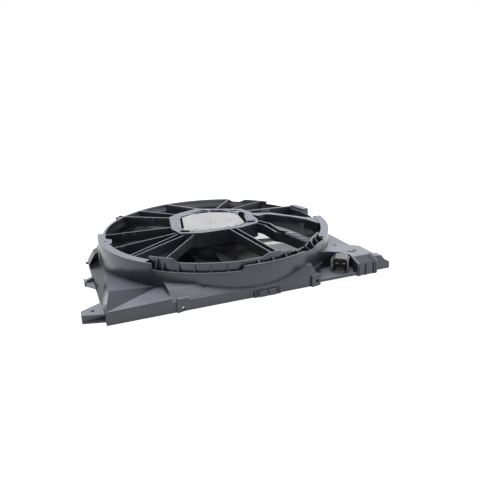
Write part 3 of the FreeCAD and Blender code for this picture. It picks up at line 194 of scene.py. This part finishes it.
# Faces that look up take this colour: partly dust, partly a painted sheen standing in for the light
# that grazes them.
DUST_AND_SHEEN_COLOUR = (0.36, 0.38, 0.45)
GLOSS_TINT = (0.86, 0.9, 1.0)
# Painted shade inside the plug's mouth.
MOUTH_SHADE_COLOUR = (0.006, 0.006, 0.007)
SPECK_COLOUR = (0.05, 0.05, 0.055)
PORES = 1900.0

# Depths of the relief, in metres.
GRAIN_DEPTH = 0.00004
POLISHED_DEPTH = 0.00003
GROUND_DEPTH = 0.00002
CAST_DEPTH = 0.00008
WINDING_DEPTH = 0.0003

# A painted reflection: a pale band on the barrel's rear wall standing in for the bright room
# reflected there. How far back it starts, and the heights between which it comes up and goes down.
REAR_WALL = (0.10, 0.215)
REFLECTION_UP = (0.044, 0.053)
REFLECTION_DOWN = (0.056, 0.064)

# The plug's middle from the fan's axis, its turn, and the mouth in its front, whose inside is
# painted nearly black as shade.
PLUG_X, PLUG_Y, PLUG_Z = 217.3 * MM, -203.9 * MM, 20.8 * MM
PLUG_TURN = math.radians(38)
MOUTH_HALF_WIDTH, MOUTH_HALF_HEIGHT, MOUTH_FROM = 14.5 * MM, 13.0 * MM, 12 * MM


def shaded(colour, share):
    return tuple(channel * share for channel in colour)


def moulded_plastic(name, colour, gloss, dust_and_sheen=0.75, shine=0.75):
    """Satin moulding: flow marks, a fine grain, and what faces up paler from dust and painted
    sheen.
    """
    made = Made(name)
    cloud = made.noise(9.0, 4.0, 0.6)
    fine = made.noise(260.0, 2.0)
    pores = made.noise(PORES, 2.0)
    streaks = made.noise(38.0, 2.0, 0.5, made.stretched((1.0, 1.0, 0.12)))
    # Dust mixed with painted sheen: faces that look up are made paler, standing in for the light
    # grazing them.
    dust_and_sheen_mask = made.upward() * (cloud * 0.8 + fine * 0.35).step(0.0, 0.6) * dust_and_sheen
    lighter = tuple(min(1.0, channel * 1.35 + 0.012) for channel in colour)
    body = made.colour(streaks * 0.6 + cloud * 0.4, shaded(colour, 0.82), lighter)
    body = made.colour(dust_and_sheen_mask, body, DUST_AND_SHEEN_COLOUR)
    rough = gloss + (cloud - 0.5) * 0.16 + (fine - 0.5) * 0.08 + dust_and_sheen_mask * 0.12
    relief = made.bump(pores * 0.7 + fine * 0.3, GRAIN_DEPTH)
    return made.finish(base_color=body, roughness=rough, normal=relief, specular_ior_level=shine,
                       specular_tint=GLOSS_TINT)


def glossy_barrel(name, colour, pale):
    """Polished moulding with a painted reflection in a band along its rear wall, paler on top from
    dust and painted sheen.
    """
    made = Made(name)
    cloud = made.noise(7.0, 3.0, 0.6)
    drawn = made.noise(24.0, 2.0, 0.5, made.stretched((0.4, 0.4, 5.0)))
    _, y, z = made.axes()
    # Painted reflection: the rear wall is paler in this band.
    band = z.step(*REFLECTION_UP) * (1 - z.step(*REFLECTION_DOWN) * 0.6)
    rear = y.step(*REAR_WALL) * band * (drawn * 0.7 + cloud * 0.5).step(0.2, 0.9)
    body = made.colour(rear, colour, pale)
    # Dust and painted sheen on what faces up.
    body = made.colour(made.upward() * 0.7, body, DUST_AND_SHEEN_COLOUR)
    relief = made.bump(made.noise(PORES, 2.0), POLISHED_DEPTH)
    return made.finish(base_color=body, roughness=0.2 + cloud * 0.12, normal=relief,
                       specular_ior_level=1.0, specular_tint=GLOSS_TINT)


def plug_moulding(name, colour):
    """Matt shell, with painted shade making it nearly black inside its mouth."""
    made = Made(name)
    x, y, z = made.axes()
    east = x - AXIS.x - PLUG_X
    north = y - AXIS.y - PLUG_Y
    aside = east * math.cos(PLUG_TURN) - north * math.sin(PLUG_TURN)
    ahead = east * -math.sin(PLUG_TURN) - north * math.cos(PLUG_TURN)
    # Painted shade: the inside of the mouth, behind its front, is made nearly black.
    mouth = (abs(aside) < MOUTH_HALF_WIDTH) * (abs(z - PLUG_Z) < MOUTH_HALF_HEIGHT)
    mouth = mouth * (ahead > MOUTH_FROM)
    cloud = made.noise(40.0, 3.0)
    body = made.colour(cloud, shaded(colour, 0.85), colour)
    body = made.colour(mouth, body, MOUTH_SHADE_COLOUR)
    relief = made.bump(made.noise(1500.0, 2.0), GRAIN_DEPTH)
    return made.finish(base_color=body, roughness=0.42 + (cloud - 0.5) * 0.1, normal=relief)


def cast_metal(name, colour, gloss=0.5, marks=0.5):
    """Pale casting with a faint cast skin, scuffs and a few small dark specks."""
    made = Made(name)
    cloud = made.noise(16.0, 4.0, 0.6)
    skin = made.noise(420.0, 3.0)
    scuff = made.noise(120.0, 5.0, 0.7, made.stretched((0.35, 1.0, 1.0), 0.5))
    speck = made.node("ShaderNodeTexVoronoi", {"feature": "DISTANCE_TO_EDGE"}, {
        "Vector": made.place, "Scale": 55.0})["Distance"]
    dots = (1 - speck.step(0.0, 0.02)) * made.noise(31.0, 1.0).step(0.60, 0.72) * marks
    worn = scuff.step(0.56, 0.74) * marks * 0.35
    body = made.colour(cloud.step(0.25, 0.8), shaded(colour, 0.80), colour)
    body = made.colour(worn, body, shaded(colour, 0.55))
    body = made.colour(dots, body, SPECK_COLOUR)
    relief = made.bump(skin * 0.6 + scuff * 0.4, CAST_DEPTH)
    return made.finish(base_color=body, roughness=gloss + (cloud - 0.5) * 0.2, normal=relief)


def bright_metal(name, colour, gloss):
    """Bare metal with a fine skin."""
    made = Made(name)
    fine = made.noise(700.0, 3.0)
    cloud = made.noise(60.0, 3.0)
    body = made.colour(cloud, shaded(colour, 0.8), colour)
    relief = made.bump(fine, GROUND_DEPTH)
    return made.finish(base_color=body, roughness=gloss + (fine - 0.5) * 0.2, normal=relief,
                       metallic=1.0)


def wound_wire(name, colour):
    """Turns of enamelled wire."""
    made = Made(name)
    turns = made.node("ShaderNodeTexWave", {"wave_type": "BANDS", "bands_direction": "Z"}, {
        "Vector": made.place, "Scale": 320.0, "Distortion": 0.4})["Fac"]
    body = made.colour(turns, shaded(colour, 0.35), colour)
    return made.finish(base_color=body, roughness=0.35, normal=made.bump(turns, WINDING_DEPTH),
                       metallic=0.6)


def circuit_lacquer(name, gaps, tracks):
    """Green lacquer over copper tracks."""
    made = Made(name)
    pattern = made.node("ShaderNodeTexBrick", None, {
        "Vector": made.place, "Scale": 90.0, "Mortar Size": 0.12, "Color1": BLACK,
        "Color2": (0.3, 0.3, 0.3), "Mortar": WHITE})["Fac"]
    body = made.colour(pattern, gaps, tracks)
    return made.finish(base_color=body, roughness=0.3, normal=made.bump(pattern, POLISHED_DEPTH))


# Values a user would change.

class ShroudSettings(bpy.types.PropertyGroup):
    edge: bpy.props.FloatProperty(
        name="Edge rounding", description="Radius left on the edges of the moulding",
        default=0.0007, unit="LENGTH")
    plastic: bpy.props.FloatVectorProperty(
        name="Moulding", description="Colour of the shroud's plastic", subtype="COLOR", size=3,
        default=(0.020, 0.021, 0.029))
    fan: bpy.props.FloatVectorProperty(
        name="Fan", description="Colour of the fan's plastic", subtype="COLOR", size=3,
        default=(0.011, 0.0115, 0.014))
    cover: bpy.props.FloatVectorProperty(
        name="Cover", description="Colour of the electronics cover", subtype="COLOR", size=3,
        default=(0.70, 0.69, 0.71))
    plug: bpy.props.FloatVectorProperty(
        name="Plug", description="Colour of the connector shell", subtype="COLOR", size=3,
        default=(0.27, 0.265, 0.27))
    lamp: bpy.props.FloatProperty(
        name="Lamp", description="Power of the lamp overhead", default=20.0, unit="POWER")


def settings():
    return bpy.context.scene.shroud


def deselect():
    bpy.ops.object.select_all(action="DESELECT")


# Finishes of the CAD pieces. The CAD meshes are loose triangles, so points closer than this are
# joined before their edges are rounded.
JOINED_WITHIN = 0.00001
CAD_EDGE_ANGLE = math.radians(32.0)
TRIM_EDGE_ANGLE = math.radians(35)
ROUNDING_STEPS = 2


def coat(names, material):
    """Gives CAD pieces one finish."""
    for name in names:
        mesh = NODES[name].data
        mesh.materials.clear()
        mesh.materials.append(material)


def round_edges(piece, width, angle):
    """Adds a bevel to the edges that turn by more than an angle."""
    bevel = piece.modifiers.new("edges", "BEVEL")
    bevel.width = width
    bevel.segments = ROUNDING_STEPS
    bevel.limit_method = "ANGLE"
    bevel.angle_limit = angle


def soften(names, width):
    """Rounds the edges of CAD pieces with live modifiers."""
    for name in names:
        weld = NODES[name].modifiers.new("join", "WELD")
        weld.merge_threshold = JOINED_WITHIN
        round_edges(NODES[name], width, CAD_EDGE_ANGLE)


class SHROUD_OT_finishes(bpy.types.Operator):
    """Gives every CAD piece its finish"""
    bl_idname = "shroud.finishes"
    bl_label = "Finishes"

    def execute(self, context):
        chosen = settings()
        plastic, fan = tuple(chosen.plastic), tuple(chosen.fan)
        # A later row repaints a piece that an earlier row has painted.
        for names, material in (
                (MOULDED + STRUTS + ("motor_carrier",),
                 moulded_plastic("satin_moulding", plastic, 0.31)),
                (CLEAN_STRUTS, moulded_plastic("bare_moulding", plastic, 0.36, dust_and_sheen=0.1)),
                (("ring_barrel",),
                 glossy_barrel("polished_barrel", (0.024, 0.025, 0.033), (0.50, 0.51, 0.56))),
                (("duct_cover",), moulded_plastic("ribbed_lid", plastic, 0.34)),
                (("fan_wheel",),
                 moulded_plastic("fan_moulding", fan, 0.34, dust_and_sheen=0.05, shine=0.4)),
                (("connector_shell",), plug_moulding("plug_moulding", tuple(chosen.plug))),
                (("electronics_cover",), cast_metal("cover_coat", tuple(chosen.cover))),
                (("motor_base",), cast_metal("base_casting", (0.42, 0.425, 0.44), 0.42, 0.3)),
                (("rotor_cup",), bright_metal("pressed_cup", (0.42, 0.42, 0.44), 0.4)),
                (("bearing_lower", "bearing_upper", "motor_shaft"),
                 bright_metal("ground_steel", (0.6, 0.6, 0.62), 0.25)),
                (("motor_screws", "cover_screws", "fan_screws"),
                 bright_metal("zinc", (0.62, 0.62, 0.64), 0.32)),
                (("stator_core",), bright_metal("laminations", (0.35, 0.35, 0.37), 0.45)),
                (("rotor_magnets",),
                 moulded_plastic("ferrite", (0.05, 0.05, 0.055), 0.55, dust_and_sheen=0.0)),
                (("connector_blade_1", "connector_blade_2"),
                 bright_metal("tinned_brass", (0.7, 0.68, 0.62), 0.28)),
                (("board_capacitors",),
                 bright_metal("capacitor_cans", (0.55, 0.55, 0.58), 0.3)),
                (("stator_coils",), wound_wire("enamelled_wire", (0.62, 0.28, 0.12))),
                (("circuit_board",),
                 circuit_lacquer("board_lacquer", (0.01, 0.09, 0.035), (0.03, 0.2, 0.08)))):
            coat(names, material)
        soften(MOULDED + STRUTS + ("motor_carrier", "duct_cover", "connector_shell",
                                   "electronics_cover", "fan_wheel"), chosen.edge)
        return {"FINISHED"}


# Small pieces. Plans and heights are in millimetres, plans from the fan's axis.


def plan_piece(name, corners, low, high, material, edge=0.0002, body="housing"):
    """A plate over a plan, made from a disc whose corners are moved, then drawn upwards."""
    deselect()
    bpy.ops.mesh.primitive_circle_add(
        vertices=len(corners), radius=10 * MM, fill_type="NGON", location=(0, 0, 0))
    piece = bpy.context.object
    piece.name = name
    for vertex, (x, y) in zip(piece.data.vertices, corners):
        vertex.co = (AXIS.x + x * MM, AXIS.y + y * MM, low * MM)
    bpy.ops.object.mode_set(mode="EDIT")
    bpy.ops.mesh.select_all(action="SELECT")
    bpy.ops.mesh.extrude_region_move(TRANSFORM_OT_translate={"value": (0, 0, (high - low) * MM)})
    bpy.ops.mesh.select_all(action="SELECT")
    bpy.ops.mesh.normals_make_consistent(inside=False)
    bpy.ops.object.mode_set(mode="OBJECT")
    return dress(piece, material, edge, body)


def dress(piece, material, edge, body="housing"):
    """Rounds a piece's edges, gives it its finish and lets it ride on a body."""
    if edge > 0:
        round_edges(piece, edge, TRIM_EDGE_ANGLE)
        bpy.ops.object.modifier_apply(modifier="edges")
    piece.data.materials.clear()
    piece.data.materials.append(material)
    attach(piece, body)
    return piece


def oval(x, y, turn, length, width, steps=3):
    """Plan of a slot with round ends."""
    corners = []
    for side, start in ((1, -90), (-1, 90)):
        for number in range(steps + 1):
            angle = math.radians(start + 180 * number / steps)
            corners.append((side * (length - width) / 2 + math.cos(angle) * width / 2,
                            math.sin(angle) * width / 2))
    turn = math.radians(turn)
    return [(x + a * math.cos(turn) - b * math.sin(turn),
             y + a * math.sin(turn) + b * math.cos(turn)) for a, b in corners]


def curved_strip(inner, outer, bearings):
    """Plan of a strip between two radii, along one and back along the other."""
    corners = []
    for radius, along in ((inner, bearings), (outer, bearings[::-1])):
        for bearing in along:
            angle = math.radians(bearing)
            corners.append((radius * math.cos(angle), radius * math.sin(angle)))
    return corners


# The carrier's top, and how far the pieces on it reach down into it.
CARRIER_TOP = 86.0
SUNK = 0.2


def laid(name, corners, rise, material, edge=0.0002):
    """A plate that is laid on the carrier's top and sunk into it."""
    return plan_piece(name, corners, CARRIER_TOP - SUNK, CARRIER_TOP + rise, material, edge)


# Dark strips laid in the gaps round the cover, and dark plates in its slots: painted shade standing
# in for the shadow in these gaps and recesses.
GAP_SHADE_RISE, SLOT_RISE = 0.3, 0.25
GAP_SHADES = {
    "gap_shade_right": ((61.5, 5), (67, 16), (73, 22), (79, 20), (58, -60), (51.5, -66)),
    "gap_shade_left": ((-70.5, 39), (-64, 44), (-77.5, -19), (-84.5, -50), (-89.5, -47), (-83, -19)),
    "gap_shade_corner": ((-69, 42), (-43, 54), (-42, 50), (-64, 38)),
}
SLOT_SHADES = {
    "slot_shade_front_left": ((-98, -61), (-77, -67), (-80, -78), (-97, -73)),
    "slot_shade_front_right": ((59, -57), (76, -60), (75, -71), (55, -68)),
    "slot_shade_arm": ((90, -20), (97, -22), (96, -40), (88, -44)),
}
# Place, turn and length of the slots in the rear rim.
RIM_SLOTS = ((-5, 70, -14, 24), (19, 66, -20, 11), (36, 57.5, -28, 17), (62, 40, -33, 22))
RIM_SLOT_WIDTH = 6.5
RIM_SLOT_STEPS = 6


class SHROUD_OT_gap_shades(bpy.types.Operator):
    """Adds dark strips and plates as painted shade in the gaps round the electronics cover and in
    its slots
    """
    bl_idname = "shroud.seals"
    bl_label = "Gap and slot shade"

    def execute(self, context):
        # Painted shade: nearly black, matt and without shine.
        black = moulded_plastic("gap_and_slot_shade", (0.004, 0.004, 0.005), 0.8, dust_and_sheen=0.0, shine=0.0)
        for name, corners in GAP_SHADES.items():
            laid(name, corners, GAP_SHADE_RISE, black)
        for name, corners in SLOT_SHADES.items():
            laid(name, corners, SLOT_RISE, black)
        for number, (x, y, turn, length) in enumerate(RIM_SLOTS):
            laid("rim_slot_shade_%d" % number, oval(x, y, turn, length, RIM_SLOT_WIDTH, RIM_SLOT_STEPS),
                 SLOT_RISE, black)
        return {"FINISHED"}


BOSSES = ((9.4, 68.5), (26, 62), (48, 50), (76, 33), (-19, 74))
BOSS_RADIUS, BOSS_RISE, BOSS_SIDES = 2.4, 1.1, 20
# Each boss's rim is this share of its radius, and its middle is this deep.
BOSS_RIM, BOSS_HOLLOW, BOSS_EDGE = 0.35, 0.6, 0.12
FLAT_WITHIN = 0.00002


def pick_top(piece):
    """Selects the faces that look up at the piece's top, in edit mode."""
    top = max(vertex.co.z for vertex in piece.data.vertices)
    bpy.ops.object.mode_set(mode="EDIT")
    bpy.ops.mesh.select_mode(type="FACE")
    bpy.ops.mesh.select_all(action="DESELECT")
    bpy.ops.object.mode_set(mode="OBJECT")
    for face in piece.data.polygons:
        face.select = face.normal.z > 0.9 and abs(face.center.z - top) < FLAT_WITHIN
    bpy.ops.object.mode_set(mode="EDIT")


class SHROUD_OT_bosses(bpy.types.Operator):
    """Adds the hollow bosses on the rear rim of the carrier, in a paler plastic that paints their
    highlight
    """
    bl_idname = "shroud.bosses"
    bl_label = "Rim bosses"

    def execute(self, context):
        # Painted highlight: the bosses are made much paler than the moulding they stand on.
        pale = moulded_plastic("highlight_plastic", (0.30, 0.31, 0.34), 0.3, dust_and_sheen=0.4)
        low, high = CARRIER_TOP - SUNK, CARRIER_TOP + BOSS_RISE
        for number, (x, y) in enumerate(BOSSES):
            deselect()
            bpy.ops.mesh.primitive_cylinder_add(
                vertices=BOSS_SIDES, radius=BOSS_RADIUS * MM, depth=(high - low) * MM,
                location=(AXIS.x + x * MM, AXIS.y + y * MM, (low + high) / 2 * MM))
            boss = bpy.context.object
            boss.name = "boss_%d" % number
            bpy.ops.object.transform_apply(location=True, rotation=True, scale=True)
            pick_top(boss)
            bpy.ops.mesh.inset(thickness=BOSS_RADIUS * BOSS_RIM * MM, depth=0.0)
            bpy.ops.transform.translate(value=(0, 0, -BOSS_HOLLOW * MM))
            bpy.ops.object.mode_set(mode="OBJECT")
            dress(boss, pale, BOSS_EDGE * MM)
        return {"FINISHED"}


# Plan, rise and edge of the rim beside the left strip of painted gap shade and of the bridge to the
# arm.
RIM_EDGES = {
    "rim_edge_left": (((-77, 42), (-70.5, 39), (-83, -19), (-89.5, -48), (-97, -48), (-93, -19)),
                      0.45, 0.0003),
    "bridge": (((80, 2), (94, -1), (82, -58), (64, -53)), 0.6, 0.0004),
}


class SHROUD_OT_rim(bpy.types.Operator):
    """Adds the raised rim at the left and the bridge at the right of the electronics cover"""
    bl_idname = "shroud.rim"
    bl_label = "Rim and bridge"

    def execute(self, context):
        plastic = bpy.data.materials["satin_moulding"]
        for name, (corners, rise, edge) in RIM_EDGES.items():
            laid(name, corners, rise, plastic, edge)
        return {"FINISHED"}


COVER_FIELD = ((-62, 30), (-40, 44), (7, 44), (44, 24), (54, 2), (45, -58), (20, -72), (-2, -77),
               (-66, -67), (-80, -52), (-74, -18))
FIELD_RISE, FIELD_EDGE = 0.45, 0.0004
# Two columns of peened marks, by their ends. Each second mark is turned further and set aside.
MARK_COLUMNS = (((-12.8, -5), (-20, -47)), ((33, -9), (24, -47)))
MARKS, MARK_ASIDE, MARK_TURN, MARK_SECOND_TURN = 6, 2.2, 74, 40
MARK_LENGTH, MARK_WIDTH, MARK_LOW, MARK_HIGH = 4.2, 1.3, 0.3, 0.55
# Place and turn of the bright tabs and the dark clips, and the height of their undersides.
TABS = ((-51, 36, 30), (54, 13, -40), (-79, -54, 60), (12, -76, -15))
CLIPS = ((-75, -49.5, 60), (-62, -67, -20), (6, -80, 5), (26, -76, 20))
FITTING_LOW = 0.2


class SHROUD_OT_cover(bpy.types.Operator):
    """Adds the raised field, the peened marks, the tabs and the clips on the cover"""
    bl_idname = "shroud.cover"
    bl_label = "Cover details"

    def execute(self, context):
        laid("cover_field", COVER_FIELD, FIELD_RISE, bpy.data.materials["cover_coat"], FIELD_EDGE)
        dark = moulded_plastic("peened_mark", (0.09, 0.09, 0.10), 0.5, dust_and_sheen=0.0, shine=0.3)
        for column, (top, bottom) in enumerate(MARK_COLUMNS):
            for number in range(MARKS):
                second = number % 2
                share = number / (MARKS - 1)
                x = top[0] + (bottom[0] - top[0]) * share + (MARK_ASIDE if second else -MARK_ASIDE)
                y = top[1] + (bottom[1] - top[1]) * share
                plan = oval(x, y, MARK_TURN + MARK_SECOND_TURN * second, MARK_LENGTH, MARK_WIDTH)
                plan_piece("mark_%d_%d" % (column, number), plan, CARRIER_TOP + MARK_LOW,
                           CARRIER_TOP + MARK_HIGH, dark, 0.0)
        bright = bright_metal("bright_tab", (0.85, 0.85, 0.86), 0.3)
        for kind, places, length, width, rise, material in (
                ("tab", TABS, 7, 4, 0.9, bright), ("clip", CLIPS, 6, 3, 0.7, dark)):
            for number, (x, y, turn) in enumerate(places):
                plan_piece("%s_%d" % (kind, number), oval(x, y, turn, length, width),
                           CARRIER_TOP + FITTING_LOW, CARRIER_TOP + rise, material)
        return {"FINISHED"}


# The ends of the notch in the rear rim: bearing of the high end and the way down from it.
RAMPS = {"notch_ramp_right": (51.0, 1), "notch_ramp_left": (62.0, -1)}
RIM_INNER, RIM_OUTER = 245.0, 248.0
RAMP_LOW, RAMP_TOP, RAMP_DROP, RAMP_DEGREES = 62.5, 69.0, 5.9, 3


class SHROUD_OT_notch(bpy.types.Operator):
    """Adds the sloping ends of the notch in the rear rim"""
    bl_idname = "shroud.notch"
    bl_label = "Notch ramps"

    def execute(self, context):
        plastic = bpy.data.materials["satin_moulding"]
        for name, (start, way) in RAMPS.items():
            bearings = [start + way * step for step in range(RAMP_DEGREES + 1)]
            piece = plan_piece(name, curved_strip(RIM_INNER, RIM_OUTER, bearings), RAMP_LOW,
                               RAMP_TOP, plastic, 0.0)
            for vertex in piece.data.vertices:
                if vertex.co.z > (RAMP_LOW + RAMP_TOP) / 2 * MM:
                    bearing = math.degrees(
                        math.atan2(vertex.co.y - AXIS.y, vertex.co.x - AXIS.x))
                    vertex.co.z -= RAMP_DROP * MM * abs(bearing - start) / RAMP_DEGREES
        return {"FINISHED"}


WEB_INNER, WEB_OUTER = 262.3, 264.6
WEB_LOW, WEB_TOP = 2.4, 19.0
WEB_BEARINGS = range(298, 313, 2)


class SHROUD_OT_web(bpy.types.Operator):
    """Adds the curved web in the pocket under the plug"""
    bl_idname = "shroud.web"
    bl_label = "Pocket web"

    def execute(self, context):
        plan_piece("pocket_web", curved_strip(WEB_INNER, WEB_OUTER, WEB_BEARINGS), WEB_LOW, WEB_TOP,
                   bpy.data.materials["satin_moulding"], 0.0)
        return {"FINISHED"}


# The bay's front face. Its lid starts at this height and rises over this depth.
BAY_FRONT = -259.0
LID_LOW, LID_RISE, LID_DEPTH = 25.0, 8.0, 26.0
# Where the panel and the ribs on the lid start and end behind the front face.
LID_FROM, LID_TO = 0.4, 25.5
# The lip's left and right end, its reach behind the front face and its heights.
LIP_LEFT, LIP_RIGHT, LIP_FROM, LIP_TO, LIP_LOW, LIP_HIGH = 132, 219, 0.3, 2.6, 4.8, 8.0


def bay_plan(left, right, start, end):
    """Plan of a rectangle behind the bay's front face."""
    return ((left, BAY_FRONT + start), (right, BAY_FRONT + start), (right, BAY_FRONT + end),
            (left, BAY_FRONT + end))


class SHROUD_OT_bay(bpy.types.Operator):
    """Adds the lip beside the bay, and the panel and the ribs on its sloping lid, the ribs in a
    painted highlight
    """
    bl_idname = "shroud.bay"
    bl_label = "Bay lip and lid"

    def execute(self, context):
        bare = bpy.data.materials["bare_moulding"]
        # Painted highlight: the ribs take the paler plastic.
        pale = bpy.data.materials["highlight_plastic"]
        plan_piece("bay_lip", bay_plan(LIP_LEFT, LIP_RIGHT, LIP_FROM, LIP_TO), LIP_LOW, LIP_HIGH,
                   bpy.data.materials["satin_moulding"], 0.0003)
        for name, left, right, high, material in (
                ("bay_panel", 225.5, 263.5, 0.4, bare),
                ("bay_rib_left", 220.6, 222.4, 3.0, pale),
                ("bay_rib_inner", 224.0, 225.4, 2.2, pale),
                ("bay_rib_middle", 263.6, 265.0, 2.2, pale),
                ("bay_rib_right", 266.6, 268.4, 3.0, pale)):
            piece = plan_piece(name, bay_plan(left, right, LID_FROM, LID_TO), -SUNK, high, material)
            for vertex in piece.data.vertices:
                along = (vertex.co.y - AXIS.y) / MM - BAY_FRONT
                vertex.co.z += (LID_LOW + along * LID_RISE / LID_DEPTH) * MM
        return {"FINISHED"}


# Place, size and share of the power of each lamp. All look at the middle of the shroud.
LAMPS = {
    "lamp_over": ((0.25, 0.5, 1.9), 1.5, 1.0),
    "lamp_left": ((-2.2, 0.9, 0.6), 1.2, 0.05),
    "lamp_right": ((2.2, -0.3, 0.5), 1.0, 0.9),
    "lamp_front": ((0.6, -2.2, 0.9), 1.4, 0.03),
}
LAMPS_LOOK_AT = (0, 0, 0.04)
FLOOR_SIZE, FLOOR_HEIGHT, FLOOR_GLOW = 30.0, -0.0005, 0.9
FLOOR_COLOUR, UNDER_FAN_GLOW = (0.82, 0.82, 0.82), (0.25, 0.25, 0.25)
# The floor glows outside this radius. Inside it, it is black at the left and glows grey at the
# right, painted light.
GLOW_RADIUS = (0.25, 0.27)
SHADE_FROM = (0.10, 0.14)
ROOM_LIGHT = 0.36

CAMERA_PLACE = (-0.3389, -1.0665, 0.4053)
CAMERA_RIGHT = (0.9289, -0.3696, -0.0246)
CAMERA_AHEAD = (0.3430, 0.8834, -0.3193)
CAMERA_LENS, CAMERA_SENSOR, CAMERA_REACH = 37.5, 36.0, 100.0


class SHROUD_OT_stage(bpy.types.Operator):
    """Adds the floor, the lamps and the camera"""
    bl_idname = "shroud.stage"
    bl_label = "Stage"

    def execute(self, context):
        scene = context.scene
        scene.view_settings.view_transform = "Standard"
        deselect()
        bpy.ops.mesh.primitive_plane_add(size=FLOOR_SIZE, location=(0, 0, FLOOR_HEIGHT))
        floor = context.object
        floor.name = "floor"
        floor.data.materials.append(self.floor_material())
        self.room(scene)
        for name, (place, size, share) in LAMPS.items():
            bpy.ops.object.light_add(type="AREA", location=place)
            lamp = context.object
            lamp.name = name
            lamp.data.energy = share * settings().lamp
            lamp.data.size = size
            ahead = Vector(LAMPS_LOOK_AT) - Vector(place)
            lamp.rotation_euler = ahead.to_track_quat("-Z", "Y").to_euler()
        self.camera(scene)
        return {"FINISHED"}

    def floor_material(self):
        """Paper that glows where it is seen; under the fan it glows only grey at the right, as
        painted light.
        """
        made = Made("pale_floor")
        x, y, _ = made.axes()
        east, north = x - AXIS.x, y - AXIS.y
        away = made.maths("SQRT", east * east + north * north)
        under = made.colour(x.step(*SHADE_FROM), BLACK, UNDER_FAN_GLOW)
        glow = made.colour(away.step(*GLOW_RADIUS), under, WHITE)
        plain = made.node("ShaderNodeEmission", None, {"Color": glow, "Strength": FLOOR_GLOW})[0]
        paper = made.node("ShaderNodeBsdfDiffuse", None, {"Color": FLOOR_COLOUR})[0]
        lit = made.node("ShaderNodeAddShader", None, {0: plain, 1: paper})[0]
        mixed = made.node("ShaderNodeMixShader", None, {0: made.seen(), 1: paper, 2: lit})[0]
        made.feed(made.tree.nodes["Material Output"].inputs["Surface"], mixed)
        return made.material

    def room(self, scene):
        """White where it is seen, and a plain level of light on the object."""
        scene.world = bpy.data.worlds.new("studio")
        scene.world.use_nodes = True
        studio = Tree(scene.world.node_tree)
        level = studio.node("ShaderNodeMapRange", None, {
            "Value": studio.seen(), "To Min": ROOM_LIGHT, "To Max": 1.0})[0]
        background = studio.tree.nodes["Background"]
        studio.feed(background.inputs["Strength"], level)
        studio.feed(background.inputs["Color"], WHITE)

    def camera(self, scene):
        """A camera where the photograph was taken from."""
        right = Vector(CAMERA_RIGHT).normalized()
        ahead = Vector(CAMERA_AHEAD).normalized()
        up = right.cross(ahead).normalized()
        bpy.ops.object.camera_add()
        camera = bpy.context.object
        camera.name = "camera"
        turned = Matrix((right, up, -ahead)).transposed().to_4x4()
        turned.translation = Vector(CAMERA_PLACE)
        camera.matrix_world = turned
        camera.data.lens = CAMERA_LENS
        camera.data.sensor_width = CAMERA_SENSOR
        camera.data.clip_end = CAMERA_REACH
        scene.camera = camera


class SHROUD_PT_panel(bpy.types.Panel):
    bl_idname = "SHROUD_PT_panel"
    bl_label = "Radiator fan shroud"
    bl_space_type = "VIEW_3D"
    bl_region_type = "UI"
    bl_category = "Shroud"

    def draw(self, context):
        column = self.layout.column()
        for name in ("edge", "plastic", "fan", "cover", "plug", "lamp"):
            column.prop(context.scene.shroud, name)
        for step in STEPS:
            column.operator(step.bl_idname)


STEPS = (SHROUD_OT_finishes, SHROUD_OT_gap_shades, SHROUD_OT_bosses, SHROUD_OT_rim, SHROUD_OT_cover,
         SHROUD_OT_notch, SHROUD_OT_web, SHROUD_OT_bay, SHROUD_OT_stage)
CLASSES = (ShroudSettings, *STEPS, SHROUD_PT_panel)


def register():
    for item in CLASSES:
        bpy.utils.register_class(item)
    bpy.types.Scene.shroud = bpy.props.PointerProperty(type=ShroudSettings)


def unregister():
    del bpy.types.Scene.shroud
    for item in reversed(CLASSES):
        bpy.utils.unregister_class(item)


def main():
    register()
    bpy.ops.shroud.finishes()
    bpy.ops.shroud.seals()
    bpy.ops.shroud.bosses()
    bpy.ops.shroud.rim()
    bpy.ops.shroud.cover()
    bpy.ops.shroud.notch()
    bpy.ops.shroud.web()
    bpy.ops.shroud.bay()
    bpy.ops.shroud.stage()


if __name__ == "__main__":
    main()
